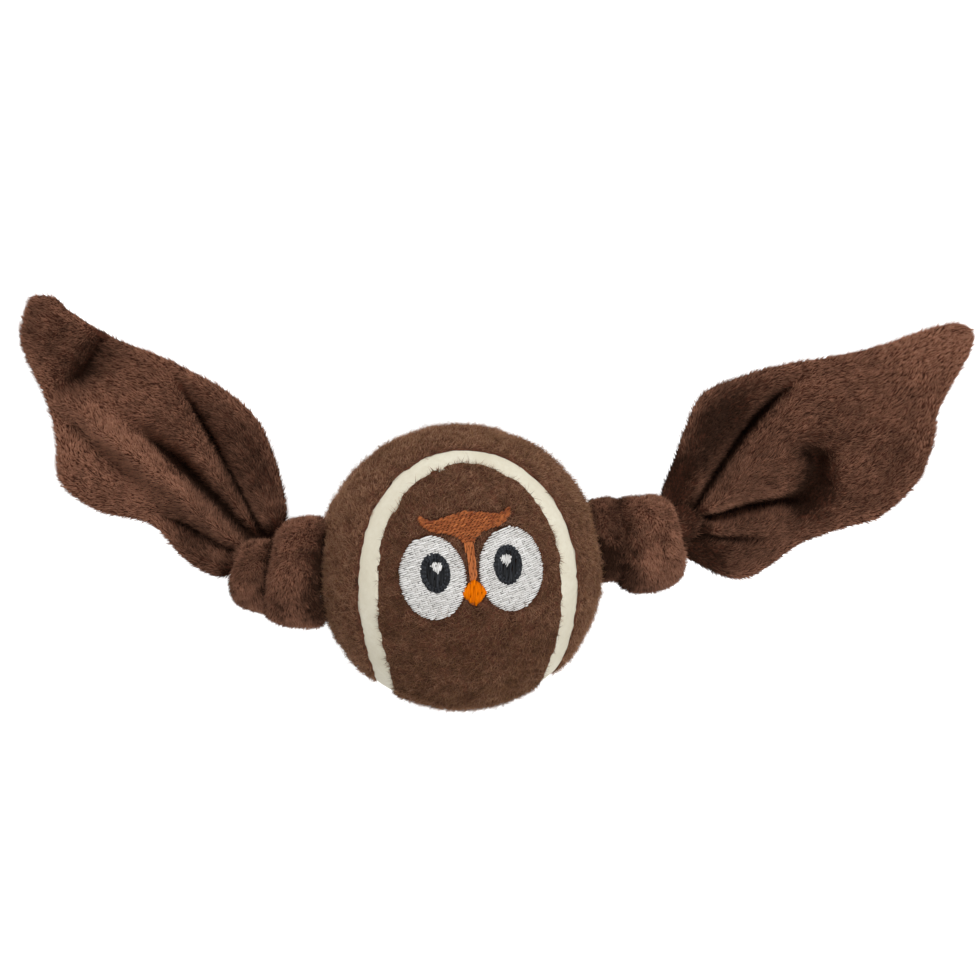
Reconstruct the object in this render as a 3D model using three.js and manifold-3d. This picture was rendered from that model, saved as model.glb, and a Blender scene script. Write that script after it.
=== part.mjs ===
// Owl dog toy: a felt-covered ball with an embroidered owl face, and one plush strip that runs through it.
// The strip is knotted against both sides of the ball, and each end opens into a sewn, turned wing.
// Millimetres and degrees, +Z up. The toy lies on its back: X runs along the strip, +Y points to the owl's crown
// and +Z points out of its face. The origin is the middle of the small flat that the ball rests on.
import * as THREE from "three";
import { mergeVertices } from "three/addons/utils/BufferGeometryUtils.js";
import Module from "manifold-3d";

const wasm = await Module();
wasm.setup();

const radians = THREE.MathUtils.degToRad;
const { clamp, lerp, smoothstep } = THREE.MathUtils;
const signedPower = (value, power) => Math.sign(value) * Math.abs(value) ** power;

// Ball
const BALL_DIAMETER = 65;
const FELT_THICKNESS = 3;
const CORE_WALL = 3.5;
const HOLE_DIAMETER = 14;
const REST_FLAT_DEPTH = 0.5;
const SEAM_WIDTH = 4.2;
const SEAM_RECESS = 1.2;
const SEAM_HARMONIC = 0.215; // share of the third harmonic, which gives the seam its dumbbell waist
const SEAM_TILT = -3.5; // turn of the seam about the strip, which lifts its arch towards the crown
const FIT_GAP = 0.3; // air between pieces that touch
const MERGE_DISTANCE = 1e-4; // points closer than this are one point

// Embroidered face, laid out flat around the point midway between the eyes
const THREAD_HEIGHT = 0.6;
const FACE_SHIFT = 0.1;
const FACE_RISE = 3.3;
const FACE_TURN = 3.7;
const EYE_SPACING = 17.4;
const EYE_HALF_WIDTH = 7.1;
const EYE_HALF_HEIGHT = 9.2;
const PUPIL_HALF_WIDTH = 3.05;
const PUPIL_HALF_HEIGHT = 4.2;
const PUPIL_INSET = 0.7;
const PUPIL_RISE = 1.17;
const HIGHLIGHT_RADIUS = 1.2;
const HIGHLIGHT_INSET = 0.4;
const HIGHLIGHT_RISE = 1.15;
const BEAK_HALF_WIDTH = 2.6;
const BEAK_HALF_HEIGHT = 2.8;
const BEAK_DROP = 3.9;
const BEAK_SQUARENESS = 1.3; // exponent of the rounded diamond
// Half of the brow's outline, from its top middle over the tip and down to the foot of its stem
const BROW_HALF = [
  [0, 13.6], [4.3, 12.8], [7.0, 12.2], [8.8, 12.5], [9.9, 13.3], [10.0, 11.6],
  [7.6, 9.9], [4.2, 9.2], [1.9, 8.0], [1.05, 6.6], [0.85, 3.0], [0.75, -0.7],
];
const BROW_HUB_HEIGHT = 10.6;

// Plush strip and knots. Distances along the strip are measured from the ball's surface, outwards.
const STRAP_PLEATS = 5;
const STRAP_PLEAT_DEPTH = 0.5;
const CORE_STRAND_DIAMETER = 9;
const TURN_SQUARENESS = 2.3; // exponent of a turn's flattened section
const TURN_END_TAPER = 0.6; // how far a turn narrows at its two ends
const TURN_END_SHARPNESS = 30;
const KNOT_CLEARANCE = 0.45; // from the knots to the ball, which turns against them
const LEFT_WRAP = {
  reach: 6.2, width: 12.4, outerRadius: 13.2, depth: 9.2, rise: 0.5, lift: 0, lean: 10, from: -88, to: 268,
};
const LEFT_BIGHT = {
  reach: 15.8, width: 9.6, outerRadius: 8.2, depth: 6.8, rise: 0.8, lift: 1.5, lean: 6, from: 0, to: 215,
};
const LEFT_STRAND = [[0, 0, 0], [5.5, 0, 0], [10.5, 1.4, -1.8], [13.2, 4.2, -5]];
const RIGHT_WRAP = {
  reach: 13.6, width: 14.4, outerRadius: 11.8, depth: 8, rise: 3, lift: 0, lean: 10, from: -88, to: 268,
};
const RIGHT_BIGHT = {
  reach: 3.2, width: 8.4, outerRadius: 10, depth: 6.2, rise: 4.2, lift: 0, lean: 4, from: -88, to: 268,
};
const RIGHT_STRAND = [[0, 0, 0], [2.5, 0, 0], [7, 1.8, 0], [13.5, 3.8, -0.8], [18.8, 6.2, -3], [21.4, 8.6, -5]];

// Wings. A wing's own axes are s, along it from the knot, t, across it to the left of s, and height over the floor.
const PLUSH_THICKNESS = 2.2;
const PLUSH_RIM = 0.7;
const RIM_RADIUS = 3;
const SEAM_ALLOWANCE_THICKNESS = 0.9;
const WING_ROOT_DROP = 5.5; // from the strip's axis down to the middle of the wing's root
const WING_SLOPE_LENGTH = 16;
const OUTER_FOLD_DEPTH = 2.6;
const FOLD_START = [-0.12, 0.15]; // shares of a fold's length over which it rises
const FOLD_END = [0.55, 1.1]; // shares of a fold's length over which it fades
const EDGE_CROWDING = 0.6; // how far a wing's grid lines crowd towards its edges
const GATHER_LENGTH = 3.6; // how far out the gathered root stays stiff
const FLOP_RADIUS = 4.4; // rounding of the loose wing about the line that it flops on, beside the gathered root
// Each station is [s, right edge, left edge]. Each fold is a crease or a ridge along a line from [s, t] to [s, t].
const LEFT_WING = {
  reach: 12.2, rise: 5.8, heading: 130,
  stations: [
    [-0.8, -4.5, 6.5], [2.2, -9.4, 12.4], [9.5, -14.3, 16.1], [19.5, -18.3, 16.6], [29.5, -17.6, 23.4],
    [40.5, -13.2, 25.1], [48.5, -10.3, 19.7], [57.5, -7.4, 14.9], [67.7, -4.6, 11.3], [73, -2.6, 8],
    [76.5, -0.5, 2.9],
  ],
  folds: [
    { from: [1, -2], to: [38, -11], height: -2.6, width: 2 },
    { from: [1, 0.5], to: [42, 4.4], height: -3, width: 2.4 },
    { from: [1, 3], to: [58, 12.5], height: 2.4, width: 3 },
    { from: [1, 3.5], to: [22, 14.5], height: -2.2, width: 2.4 },
    { from: [1, -6], to: [32, -15], height: 1.4, width: 3.4 },
    { from: [57, -8], to: [57, 12], height: -2.4, width: 3.4 },
    { from: [66, 3], to: [74, 4], height: 1.6, width: 5 },
  ],
};
const RIGHT_WING = {
  reach: 21.3, rise: 9.6, heading: 20,
  stations: [
    [-0.8, -7, 5.5], [2.4, -16, 12.2], [7.5, -21.6, 17.8], [14.5, -22.3, 21.7], [24.5, -20.5, 22],
    [36, -23, 19.3], [47, -22.6, 16.6], [55, -20.2, 15.8], [62, -12, 15.6], [66, -5.6, 15.3],
    [74, -0.8, 13.6], [79, 5, 11.6],
  ],
  folds: [
    { from: [1, -0.6], to: [40, 16.3], height: -3, width: 2.2 },
    { from: [1, -3], to: [30, -13.2], height: -2.8, width: 2.2 },
    { from: [2, 0], to: [32, 0], height: 1.8, width: 5 },
    { from: [27, -13], to: [36, -8], height: -2.4, width: 2.8 },
    { from: [36, -8], to: [32, 0], height: -2, width: 2.8 },
    { from: [2, -7], to: [24, -16], height: 1.6, width: 3.6 },
    { from: [2, 8], to: [18, 18], height: 1.4, width: 3 },
  ],
};

// Sizes that follow
const BALL_RADIUS = BALL_DIAMETER / 2;
const BALL_HEIGHT = BALL_RADIUS - REST_FLAT_DEPTH;
const FELT_INNER_RADIUS = BALL_RADIUS - FELT_THICKNESS;
const CORE_RADIUS = FELT_INNER_RADIUS - FIT_GAP;
const HOLE_RADIUS = HOLE_DIAMETER / 2;
const STRAP_RADIUS = HOLE_RADIUS - FIT_GAP;
const STRIP_AXIS = new THREE.Vector3(1, 0, 0);
const STRAP_HALF_LENGTH = Math.sqrt(BALL_RADIUS ** 2 - HOLE_RADIUS ** 2); // flush with the hole's rim
const FACE_RADIUS = BALL_RADIUS + FIT_GAP;
const WING_GAP = SEAM_ALLOWANCE_THICKNESS + 2 * FIT_GAP;
const WING_ROOT_HEIGHT = BALL_HEIGHT - WING_ROOT_DROP;
const WING_REST_HEIGHT = PLUSH_THICKNESS + WING_GAP / 2 + OUTER_FOLD_DEPTH;
const FLOP_REACH = GATHER_LENGTH + FLOP_RADIUS; // from the root to that line
const wingHeight = (s) => {
  const slope = Math.exp(-((Math.max(s, 0) / WING_SLOPE_LENGTH) ** 2));
  return lerp(WING_REST_HEIGHT, WING_ROOT_HEIGHT, slope);
};

// Geometry from points and faces: repeated points are merged, collapsed faces dropped, and the faces turned outwards.
function closedGeometry(points, faces) {
  const raw = new THREE.BufferGeometry();
  raw.setAttribute("position", new THREE.Float32BufferAttribute(points.flat(), 3));
  raw.setIndex(faces.flat());
  const merged = mergeVertices(raw, MERGE_DISTANCE);
  const index = merged.index.array;
  const position = merged.getAttribute("position");
  const kept = [];
  let volume = 0;
  const [a, b, c] = [new THREE.Vector3(), new THREE.Vector3(), new THREE.Vector3()];
  for (let i = 0; i < index.length; i += 3) {
    const face = [index[i], index[i + 1], index[i + 2]];
    if (new Set(face).size < 3) continue;
    kept.push(face);
    a.fromBufferAttribute(position, face[0]);
    b.fromBufferAttribute(position, face[1]);
    c.fromBufferAttribute(position, face[2]);
    volume += a.dot(b.cross(c));
  }
  merged.setIndex((volume < 0 ? kept.map((face) => face.reverse()) : kept).flat());
  return merged;
}

// Closed solid between two surfaces given on one grid, with walls round the grid's open edges.
function solidBetween(rows, columns, upper, lower, loop = false) {
  const points = [];
  const faces = [];
  const lines = loop ? rows : rows + 1;
  const at = (i, j, layer) => ((i % lines) * (columns + 1) + j) * 2 + layer;
  for (let i = 0; i < lines; i++) {
    for (let j = 0; j <= columns; j++) points.push(upper(i, j), lower(i, j));
  }
  const quad = (a, b, c, d) => faces.push([a, b, c], [a, c, d]);
  for (let i = 0; i < rows; i++) {
    for (let j = 0; j < columns; j++) {
      quad(at(i, j, 0), at(i + 1, j, 0), at(i + 1, j + 1, 0), at(i, j + 1, 0));
      quad(at(i, j, 1), at(i, j + 1, 1), at(i + 1, j + 1, 1), at(i + 1, j, 1));
    }
    quad(at(i, 0, 0), at(i, 0, 1), at(i + 1, 0, 1), at(i + 1, 0, 0));
    quad(at(i, columns, 0), at(i + 1, columns, 0), at(i + 1, columns, 1), at(i, columns, 1));
  }
  for (let j = 0; j < columns && !loop; j++) {
    quad(at(0, j, 0), at(0, j + 1, 0), at(0, j + 1, 1), at(0, j, 1));
    quad(at(rows, j, 0), at(rows, j, 1), at(rows, j + 1, 1), at(rows, j + 1, 0));
  }
  return closedGeometry(points, faces);
}

// Closed tube through a list of rings of points, with a fan of faces over each end.
function solidThrough(rings, startTip, endTip) {
  const sides = rings[0].length;
  const points = [...rings.flat(), startTip, endTip];
  const start = points.length - 2;
  const end = points.length - 1;
  const last = (rings.length - 1) * sides;
  const faces = [];
  for (let j = 0; j < sides; j++) {
    const k = (j + 1) % sides;
    for (let i = 0; i < rings.length - 1; i++) {
      const [near, far] = [i * sides, (i + 1) * sides];
      faces.push([near + j, far + j, far + k], [near + j, far + k, near + k]);
    }
    faces.push([start, j, k], [end, last + k, last + j]);
  }
  return closedGeometry(points, faces);
}

function toManifold(geometry) {
  const bare = geometry.clone();
  bare.deleteAttribute("normal");
  bare.deleteAttribute("uv");
  const merged = mergeVertices(bare, MERGE_DISTANCE);
  return new wasm.Manifold(
    new wasm.Mesh({
      numProp: 3,
      vertProperties: merged.getAttribute("position").array,
      triVerts: new Uint32Array(merged.index.array),
    }),
  );
}

// The first geometry with the others cut away.
function cut(geometry, ...tools) {
  const solid = tools.reduce((left, tool) => left.subtract(toManifold(tool)), toManifold(geometry));
  const mesh = solid.getMesh();
  const result = new THREE.BufferGeometry();
  result.setAttribute("position", new THREE.BufferAttribute(mesh.vertProperties, 3));
  result.setIndex(new THREE.BufferAttribute(mesh.triVerts, 1));
  return result;
}

// Materials
const finish = (color, roughness) => new THREE.MeshStandardMaterial({ color, roughness, metalness: 0 });
const FINISH = {
  felt: finish("#553626", 1),
  rubber: finish("#3a3835", 0.8),
  cement: finish("#e2dccb", 0.7),
  plush: finish("#4c2e22", 0.95),
  whiteThread: finish("#dedede", 0.6),
  blackThread: finish("#1e2224", 0.6),
  rustThread: finish("#a9521d", 0.6),
  orangeThread: finish("#f8870d", 0.55),
};

function mesh(name, geometry, material) {
  const made = new THREE.Mesh(geometry, material);
  made.name = name;
  return made;
}

// Point of the tennis-ball seam on the unit sphere: x right, y to the crown, z out of the face.
function seamPoint(angle) {
  const b = SEAM_HARMONIC;
  const a = 1 - b;
  const u = a * Math.cos(angle) + b * Math.cos(3 * angle);
  const v = a * Math.sin(angle) - b * Math.sin(3 * angle);
  const w = 2 * Math.sqrt(a * b) * Math.sin(2 * angle);
  const point = new THREE.Vector3((u + v) / Math.SQRT2, -w, (v - u) / Math.SQRT2).normalize();
  return point.applyAxisAngle(STRIP_AXIS, radians(SEAM_TILT));
}

// Seam point moved sideways over the sphere by a distance on the ball's surface, towards the face panel if positive.
function besideSeam(angle, distance) {
  const step = 1e-4;
  const point = seamPoint(angle);
  const along = seamPoint(angle + step).sub(seamPoint(angle - step));
  const side = point.clone().cross(along).normalize();
  const turn = distance / BALL_RADIUS;
  return point.multiplyScalar(Math.cos(turn)).addScaledVector(side, Math.sin(turn)).normalize();
}

// One dumbbell felt panel: arcs across it join the two seam points at equal distances from its end.
function feltPanel(endAngle, side) {
  const rows = 26;
  const columns = 10;
  const inset = side * (SEAM_WIDTH / 2 + FIT_GAP);
  const direction = (i, j) => {
    const from = besideSeam(endAngle + (Math.PI * i) / rows, inset);
    const to = besideSeam(endAngle - (Math.PI * i) / rows, inset);
    const angle = from.angleTo(to);
    if (angle < 1e-5) return from;
    const share = j / columns;
    return from
      .multiplyScalar(Math.sin((1 - share) * angle))
      .addScaledVector(to, Math.sin(share * angle))
      .normalize();
  };
  return solidBetween(
    rows,
    columns,
    (i, j) => direction(i, j).multiplyScalar(BALL_RADIUS).toArray(),
    (i, j) => direction(i, j).multiplyScalar(FELT_INNER_RADIUS).toArray(),
  );
}

function seamBand() {
  const steps = 60;
  const point = (i, j, radius) =>
    besideSeam((2 * Math.PI * i) / steps, (j - 0.5) * SEAM_WIDTH)
      .multiplyScalar(radius)
      .toArray();
  return solidBetween(
    steps,
    1,
    (i, j) => point(i, j, BALL_RADIUS - SEAM_RECESS),
    (i, j) => point(i, j, FELT_INNER_RADIUS),
    true,
  );
}

// Half shell of the rubber core, turned about X, with the strip's hole at its pole.
function coreHalf(side) {
  const arcSteps = 5;
  const inner = CORE_RADIUS - CORE_WALL;
  const profile = [];
  const arc = (radius, from, to) => {
    for (let k = 0; k <= arcSteps; k++) {
      const angle = lerp(from, to, k / arcSteps);
      profile.push(new THREE.Vector2(radius * Math.sin(angle), radius * Math.cos(angle)));
    }
  };
  const joint = (radius) => Math.acos(FIT_GAP / 2 / radius);
  arc(CORE_RADIUS, Math.asin(HOLE_RADIUS / CORE_RADIUS), joint(CORE_RADIUS));
  arc(inner, joint(inner), Math.asin(HOLE_RADIUS / inner));
  profile.push(profile[0].clone());
  const turned = new THREE.LatheGeometry(profile.reverse(), 22);
  turned.deleteAttribute("normal");
  turned.deleteAttribute("uv");
  turned.rotateZ((-side * Math.PI) / 2);
  const merged = mergeVertices(turned, MERGE_DISTANCE);
  const position = merged.getAttribute("position");
  const points = [];
  for (let i = 0; i < position.count; i++) points.push([position.getX(i), position.getY(i), position.getZ(i)]);
  const index = [...merged.index.array];
  return closedGeometry(points, [index]);
}

// Strip inside the ball: a bundle with lengthwise pleats, as wide as its hole allows.
function centreStrap() {
  const sides = STRAP_PLEATS * 6;
  const ring = (x) =>
    Array.from({ length: sides }, (_, j) => {
      const angle = (2 * Math.PI * j) / sides;
      const radius = STRAP_RADIUS - (STRAP_PLEAT_DEPTH * (1 - Math.cos(STRAP_PLEATS * angle))) / 2;
      return [x, radius * Math.cos(angle), radius * Math.sin(angle)];
    });
  const end = STRAP_HALF_LENGTH;
  return solidThrough([ring(-end), ring(end)], [-end, 0, 0], [end, 0, 0]);
}

// Point of the flat face layout, pressed onto the ball at a radius.
function onFace(x, y, radius) {
  const turn = radians(FACE_TURN);
  const px = FACE_SHIFT + x * Math.cos(turn) - y * Math.sin(turn);
  const py = FACE_RISE + x * Math.sin(turn) + y * Math.cos(turn);
  const pz = Math.sqrt(BALL_RADIUS ** 2 - px ** 2 - py ** 2);
  return new THREE.Vector3(px, py, pz).multiplyScalar(radius / BALL_RADIUS).toArray();
}

// Thread fill between an inner and an outer closed line, each a function of a share of one turn.
function threadFill(innerLine, outerLine, segments, rings, height = THREAD_HEIGHT) {
  const point = (i, j, radius) => {
    const [from, to] = [innerLine(i / segments), outerLine(i / segments)];
    const share = j / rings;
    return onFace(lerp(from[0], to[0], share), lerp(from[1], to[1], share), radius);
  };
  return solidBetween(
    segments,
    rings,
    (i, j) => point(i, j, FACE_RADIUS + height),
    (i, j) => point(i, j, FACE_RADIUS),
    true,
  );
}

const ellipse = (x, y, halfWidth, halfHeight) => (turn) => [
  x + halfWidth * Math.cos(2 * Math.PI * turn),
  y + halfHeight * Math.sin(2 * Math.PI * turn),
];
const spot = (x, y) => () => [x, y];

function beakFill(grow, height) {
  const line = (turn) => {
    const power = 2 / BEAK_SQUARENESS;
    return [
      (BEAK_HALF_WIDTH + grow) * signedPower(Math.cos(2 * Math.PI * turn), power),
      (BEAK_HALF_HEIGHT + grow) * signedPower(Math.sin(2 * Math.PI * turn), power) - BEAK_DROP,
    ];
  };
  return threadFill(spot(0, -BEAK_DROP), line, 24, 2, height);
}

function browFill() {
  const right = BROW_HALF.map(([x, y]) => new THREE.Vector3(x, y, 0));
  const left = BROW_HALF.slice(1).map(([x, y]) => new THREE.Vector3(-x, y, 0));
  const outline = new THREE.CatmullRomCurve3([...right, ...left.reverse()], true, "centripetal");
  const line = (turn) => outline.getPoint(turn % 1).toArray();
  return threadFill(spot(0, BROW_HUB_HEIGHT), line, 40, 2);
}

function eye(side, name) {
  const x = (side * EYE_SPACING) / 2;
  const pupilX = x - side * PUPIL_INSET;
  const shineX = pupilX - side * HIGHLIGHT_INSET;
  const shineY = PUPIL_RISE + HIGHLIGHT_RISE;
  const pupilLine = (grow) => ellipse(pupilX, PUPIL_RISE, PUPIL_HALF_WIDTH + grow, PUPIL_HALF_HEIGHT + grow);
  const shineLine = (grow) => ellipse(shineX, shineY, HIGHLIGHT_RADIUS + grow, HIGHLIGHT_RADIUS + grow);
  const white = threadFill(pupilLine(FIT_GAP), ellipse(x, 0, EYE_HALF_WIDTH, EYE_HALF_HEIGHT), 24, 2);
  const beakRoom = beakFill(FIT_GAP, 2 * THREAD_HEIGHT).translate(0, 0, -FIT_GAP);
  return [
    mesh(`eye_white_${name}`, cut(white, beakRoom), FINISH.whiteThread),
    mesh(`pupil_${name}`, threadFill(shineLine(FIT_GAP), pupilLine(0), 20, 1), FINISH.blackThread),
    mesh(`eye_highlight_${name}`, threadFill(spot(shineX, shineY), shineLine(0), 16, 1), FINISH.whiteThread),
  ];
}

// One turn of the strip round the knot: a flattened band carried round the strip's axis, with tucked round ends.
function knotTurn(side, turn, grow = 0) {
  const steps = 20;
  const sides = 10;
  const middle = turn.outerRadius - turn.depth / 2;
  const lean = Math.tan(radians(turn.lean));
  const place = (share, width, depth) => {
    const angle = radians(lerp(turn.from, turn.to, share));
    const radius = middle + depth;
    const y = radius * Math.cos(angle);
    const reach = BALL_RADIUS + turn.reach - lean * y + width;
    return [side * reach, turn.rise + y, turn.lift + radius * Math.sin(angle)];
  };
  const rings = Array.from({ length: steps + 1 }, (_, i) => {
    const share = (1 - Math.cos((Math.PI * i) / steps)) / 2;
    const inset = Math.abs(2 * share - 1);
    const swell = Math.sqrt(1 - TURN_END_TAPER * inset ** TURN_END_SHARPNESS);
    return Array.from({ length: sides }, (_unused, j) => {
      const angle = (2 * Math.PI * j) / sides;
      const power = 2 / TURN_SQUARENESS;
      const width = (swell * turn.width) / 2 + grow;
      const depth = (swell * turn.depth) / 2 + grow;
      return place(share, width * signedPower(Math.cos(angle), power), depth * signedPower(Math.sin(angle), power));
    });
  });
  return solidThrough(rings, place(0, 0, 0), place(1, 0, 0));
}

// Standing strand: from the hole in the ball, through the knot's turns, to the root of the wing.
function knotStrand(side, route, grow = 0) {
  const points = route.map(([reach, y, z]) => new THREE.Vector3(side * (STRAP_HALF_LENGTH + FIT_GAP + reach), y, z));
  const path = new THREE.CatmullRomCurve3(points, false, "centripetal");
  const section = new THREE.Shape().absarc(0, 0, CORE_STRAND_DIAMETER / 2 + grow, 0, 2 * Math.PI);
  const settings = { steps: 9, curveSegments: 5, bevelEnabled: false, extrudePath: path };
  const tube = new THREE.ExtrudeGeometry(section, settings);
  tube.deleteAttribute("normal");
  tube.deleteAttribute("uv");
  return mergeVertices(tube, MERGE_DISTANCE);
}

function knot(side, name, wrap, bight, route) {
  const ballRoom = new THREE.SphereGeometry(BALL_RADIUS + KNOT_CLEARANCE, 40, 24);
  const strandRoom = knotStrand(side, route, FIT_GAP);
  const wrapRoom = knotTurn(side, wrap, FIT_GAP);
  const bightRoom = knotTurn(side, bight, FIT_GAP);
  const meshes = [
    mesh(`${name}_knot_core`, knotStrand(side, route), FINISH.plush),
    mesh(`${name}_knot_wrap`, cut(knotTurn(side, wrap), ballRoom, strandRoom), FINISH.plush),
    mesh(`${name}_knot_bight`, cut(knotTurn(side, bight), ballRoom, strandRoom, wrapRoom), FINISH.plush),
  ];
  return { meshes, rooms: [strandRoom, wrapRoom, bightRoom] };
}

// Height of all of a wing's creases and ridges at a point: a bell across each fold's line, fading at its ends.
function foldHeight(folds, s, t) {
  return folds.reduce((sum, { from, to, height, width }) => {
    const [ds, dt] = [to[0] - from[0], to[1] - from[1]];
    const length = Math.hypot(ds, dt);
    const along = ((s - from[0]) * ds + (t - from[1]) * dt) / length ** 2;
    const across = ((t - from[1]) * ds - (s - from[0]) * dt) / length;
    const fade = smoothstep(along, ...FOLD_START) * (1 - smoothstep(along, ...FOLD_END));
    return sum + height * fade * Math.exp(-((across / width) ** 2));
  }, 0);
}

// A sewn wing: two plush layers that close at a rounded rim, with a seam allowance between them along each edge.
// Its root is gathered into the knot and stays with it, so the knot's rooms are cut out of the root.
function wing(name, spec, knotRooms) {
  const columns = 16;
  const stations = spec.stations.map((station) => new THREE.Vector3(...station));
  const plan = new THREE.CatmullRomCurve3(stations, false, "catmullrom", 0.5);
  const steps = 400;
  const outline = Array.from({ length: steps + 1 }, (_, k) => plan.getPoint(k / steps));
  const shareAt = (s) => outline.findIndex((point) => point.x >= s) / steps;
  // Grid over the wing from one share of its plan to another, with the layers rounded off at the edges and the tip
  const grid = (from, to, rows) => {
    const tip = plan.getPoint(1).x;
    return (pick) => (i, j) => {
      const { x: s, y: right, z: left } = plan.getPoint(lerp(from, to, i / rows));
      const even = (2 * j) / columns - 1;
      const t = lerp(right, left, (1 + lerp(even, Math.sin((Math.PI / 2) * even), EDGE_CROWDING)) / 2);
      const height = wingHeight(s) + foldHeight(spec.folds, s, t);
      const edge = Math.min(t - right, left - t, tip - s);
      const rim = Math.sqrt(1 - (1 - clamp(edge / RIM_RADIUS, 0, 1)) ** 2);
      const half = lerp(FIT_GAP, WING_GAP, rim) / 2;
      return [s, t, height + pick(half, lerp(PLUSH_RIM, PLUSH_THICKNESS, rim))];
    };
  };
  const rows = 17;
  const gatherRows = 3;
  const loose = grid(shareAt(GATHER_LENGTH), 1, rows);
  const gathered = grid(0, shareAt(GATHER_LENGTH), gatherRows);
  const outside = (half, thickness) => half + thickness;
  const inset = 2; // grid lines between a seam allowance and the wing's edge
  const seam = (edgeColumn) => {
    const strip = (pick) => (i, j) => loose(pick)(i + inset, edgeColumn + j);
    return solidBetween(rows - 2 * inset - 1, 1, strip((half) => half - FIT_GAP), strip((half) => FIT_GAP - half));
  };
  const [rightSeam, leftSeam] = [seam(inset), seam(columns - inset - 1)];
  const pointsRight = spec.heading < 90;
  const place = new THREE.Object3D();
  place.position.set((pointsRight ? 1 : -1) * (BALL_RADIUS + spec.reach), spec.rise, 0);
  place.rotation.z = radians(spec.heading);
  place.updateMatrix();
  // The loose wing is round about its flop line, and the gathered root is hollowed to match
  const size = 4 * WING_ROOT_HEIGHT; // wider and taller than any wing's root
  const flopHeight = wingHeight(FLOP_REACH);
  const flopRound = (radius) =>
    new THREE.CylinderGeometry(radius, radius, size, 28).translate(FLOP_REACH, 0, flopHeight);
  const rootSide = new THREE.BoxGeometry(size, size, size).translate(FLOP_REACH - size / 2, 0, flopHeight);
  const beyondRound = cut(rootSide, flopRound(FLOP_RADIUS));
  const layer = (upper, lower) => cut(solidBetween(rows, columns, loose(upper), loose(lower)), beyondRound);
  const root = solidBetween(
    gatherRows,
    columns,
    gathered(outside),
    gathered((half, thickness) => -outside(half, thickness)),
  );
  const gather = cut(root, flopRound(FLOP_RADIUS + FIT_GAP));
  gather.applyMatrix4(place.matrix).translate(0, 0, -BALL_HEIGHT);
  const group = new THREE.Group();
  group.position.copy(place.position);
  group.rotation.copy(place.rotation);
  group.add(
    mesh(`${name}_wing_front_panel`, layer(outside, (half) => half), FINISH.plush),
    mesh(
      `${name}_wing_back_panel`,
      layer((half) => -half, (half, thickness) => -outside(half, thickness)),
      FINISH.plush,
    ),
    mesh(`${name}_wing_upper_seam`, pointsRight ? leftSeam : rightSeam, FINISH.plush),
    mesh(`${name}_wing_lower_seam`, pointsRight ? rightSeam : leftSeam, FINISH.plush),
  );
  return { gather: mesh(`${name}_wing_gather`, cut(gather, ...knotRooms), FINISH.plush), group };
}

function ball() {
  const group = new THREE.Group();
  const hole = new THREE.CylinderGeometry(HOLE_RADIUS, HOLE_RADIUS, 2 * BALL_DIAMETER, 32).rotateZ(Math.PI / 2);
  const underFloor = new THREE.BoxGeometry(BALL_DIAMETER, BALL_DIAMETER, BALL_DIAMETER);
  underFloor.translate(0, 0, -BALL_HEIGHT - BALL_DIAMETER / 2);
  group.add(
    mesh("core_left_half", coreHalf(-1), FINISH.rubber),
    mesh("core_right_half", coreHalf(1), FINISH.rubber),
    mesh("felt_face_panel", cut(feltPanel((3 * Math.PI) / 4, 1), underFloor), FINISH.felt),
    mesh("felt_side_panel", cut(feltPanel(Math.PI / 4, -1), hole), FINISH.felt),
    mesh("seam_band", seamBand(), FINISH.cement),
    mesh("centre_strap", centreStrap(), FINISH.plush),
    mesh("brow", browFill(), FINISH.rustThread),
    mesh("beak", beakFill(0), FINISH.orangeThread),
    ...eye(-1, "left"),
    ...eye(1, "right"),
  );
  return group;
}

const toy = new THREE.Group();
const body = ball();
const sides = [
  { name: "left", sign: -1, wrap: LEFT_WRAP, bight: LEFT_BIGHT, strand: LEFT_STRAND, spread: LEFT_WING },
  { name: "right", sign: 1, wrap: RIGHT_WRAP, bight: RIGHT_BIGHT, strand: RIGHT_STRAND, spread: RIGHT_WING },
];
for (const { name, sign, wrap, bight, strand, spread } of sides) {
  const { meshes, rooms } = knot(sign, name, wrap, bight, strand);
  const { gather, group } = wing(name, spread, rooms);
  body.add(...meshes, gather);
  toy.add(group);
}
body.position.z = BALL_HEIGHT;
toy.add(body);

export default toy;
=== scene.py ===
"""Dressed model of an owl dog toy: felt ball, embroidered face, knotted plush strip and two floppy wings.

Sizes are in millimetres, in the part's own frame, and become metres when a mesh is made. X runs along the
plush strip, +Y points to the owl's crown and +Z out of its face. The toy lies on its back, on a floor at
height 0.
"""

import itertools
import logging
import math
from dataclasses import dataclass, replace
from enum import Enum
from typing import ClassVar

import bpy
import numpy as np
from mathutils import Matrix


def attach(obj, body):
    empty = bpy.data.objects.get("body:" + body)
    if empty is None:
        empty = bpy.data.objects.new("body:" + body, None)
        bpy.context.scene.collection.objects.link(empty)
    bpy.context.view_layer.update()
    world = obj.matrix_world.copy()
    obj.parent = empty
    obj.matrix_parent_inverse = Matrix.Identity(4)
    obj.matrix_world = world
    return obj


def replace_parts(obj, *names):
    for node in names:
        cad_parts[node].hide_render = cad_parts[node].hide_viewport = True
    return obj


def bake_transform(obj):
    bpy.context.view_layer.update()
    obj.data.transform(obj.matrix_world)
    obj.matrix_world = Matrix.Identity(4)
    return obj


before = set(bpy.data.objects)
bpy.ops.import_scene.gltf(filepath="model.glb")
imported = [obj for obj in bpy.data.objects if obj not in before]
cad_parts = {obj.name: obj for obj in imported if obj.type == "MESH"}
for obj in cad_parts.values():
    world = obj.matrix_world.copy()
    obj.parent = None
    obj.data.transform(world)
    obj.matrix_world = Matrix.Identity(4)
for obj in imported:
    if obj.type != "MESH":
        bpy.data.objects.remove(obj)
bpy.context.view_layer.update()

Array = np.ndarray
MM = 0.001
BAKE_UV = "OFBake"
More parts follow.
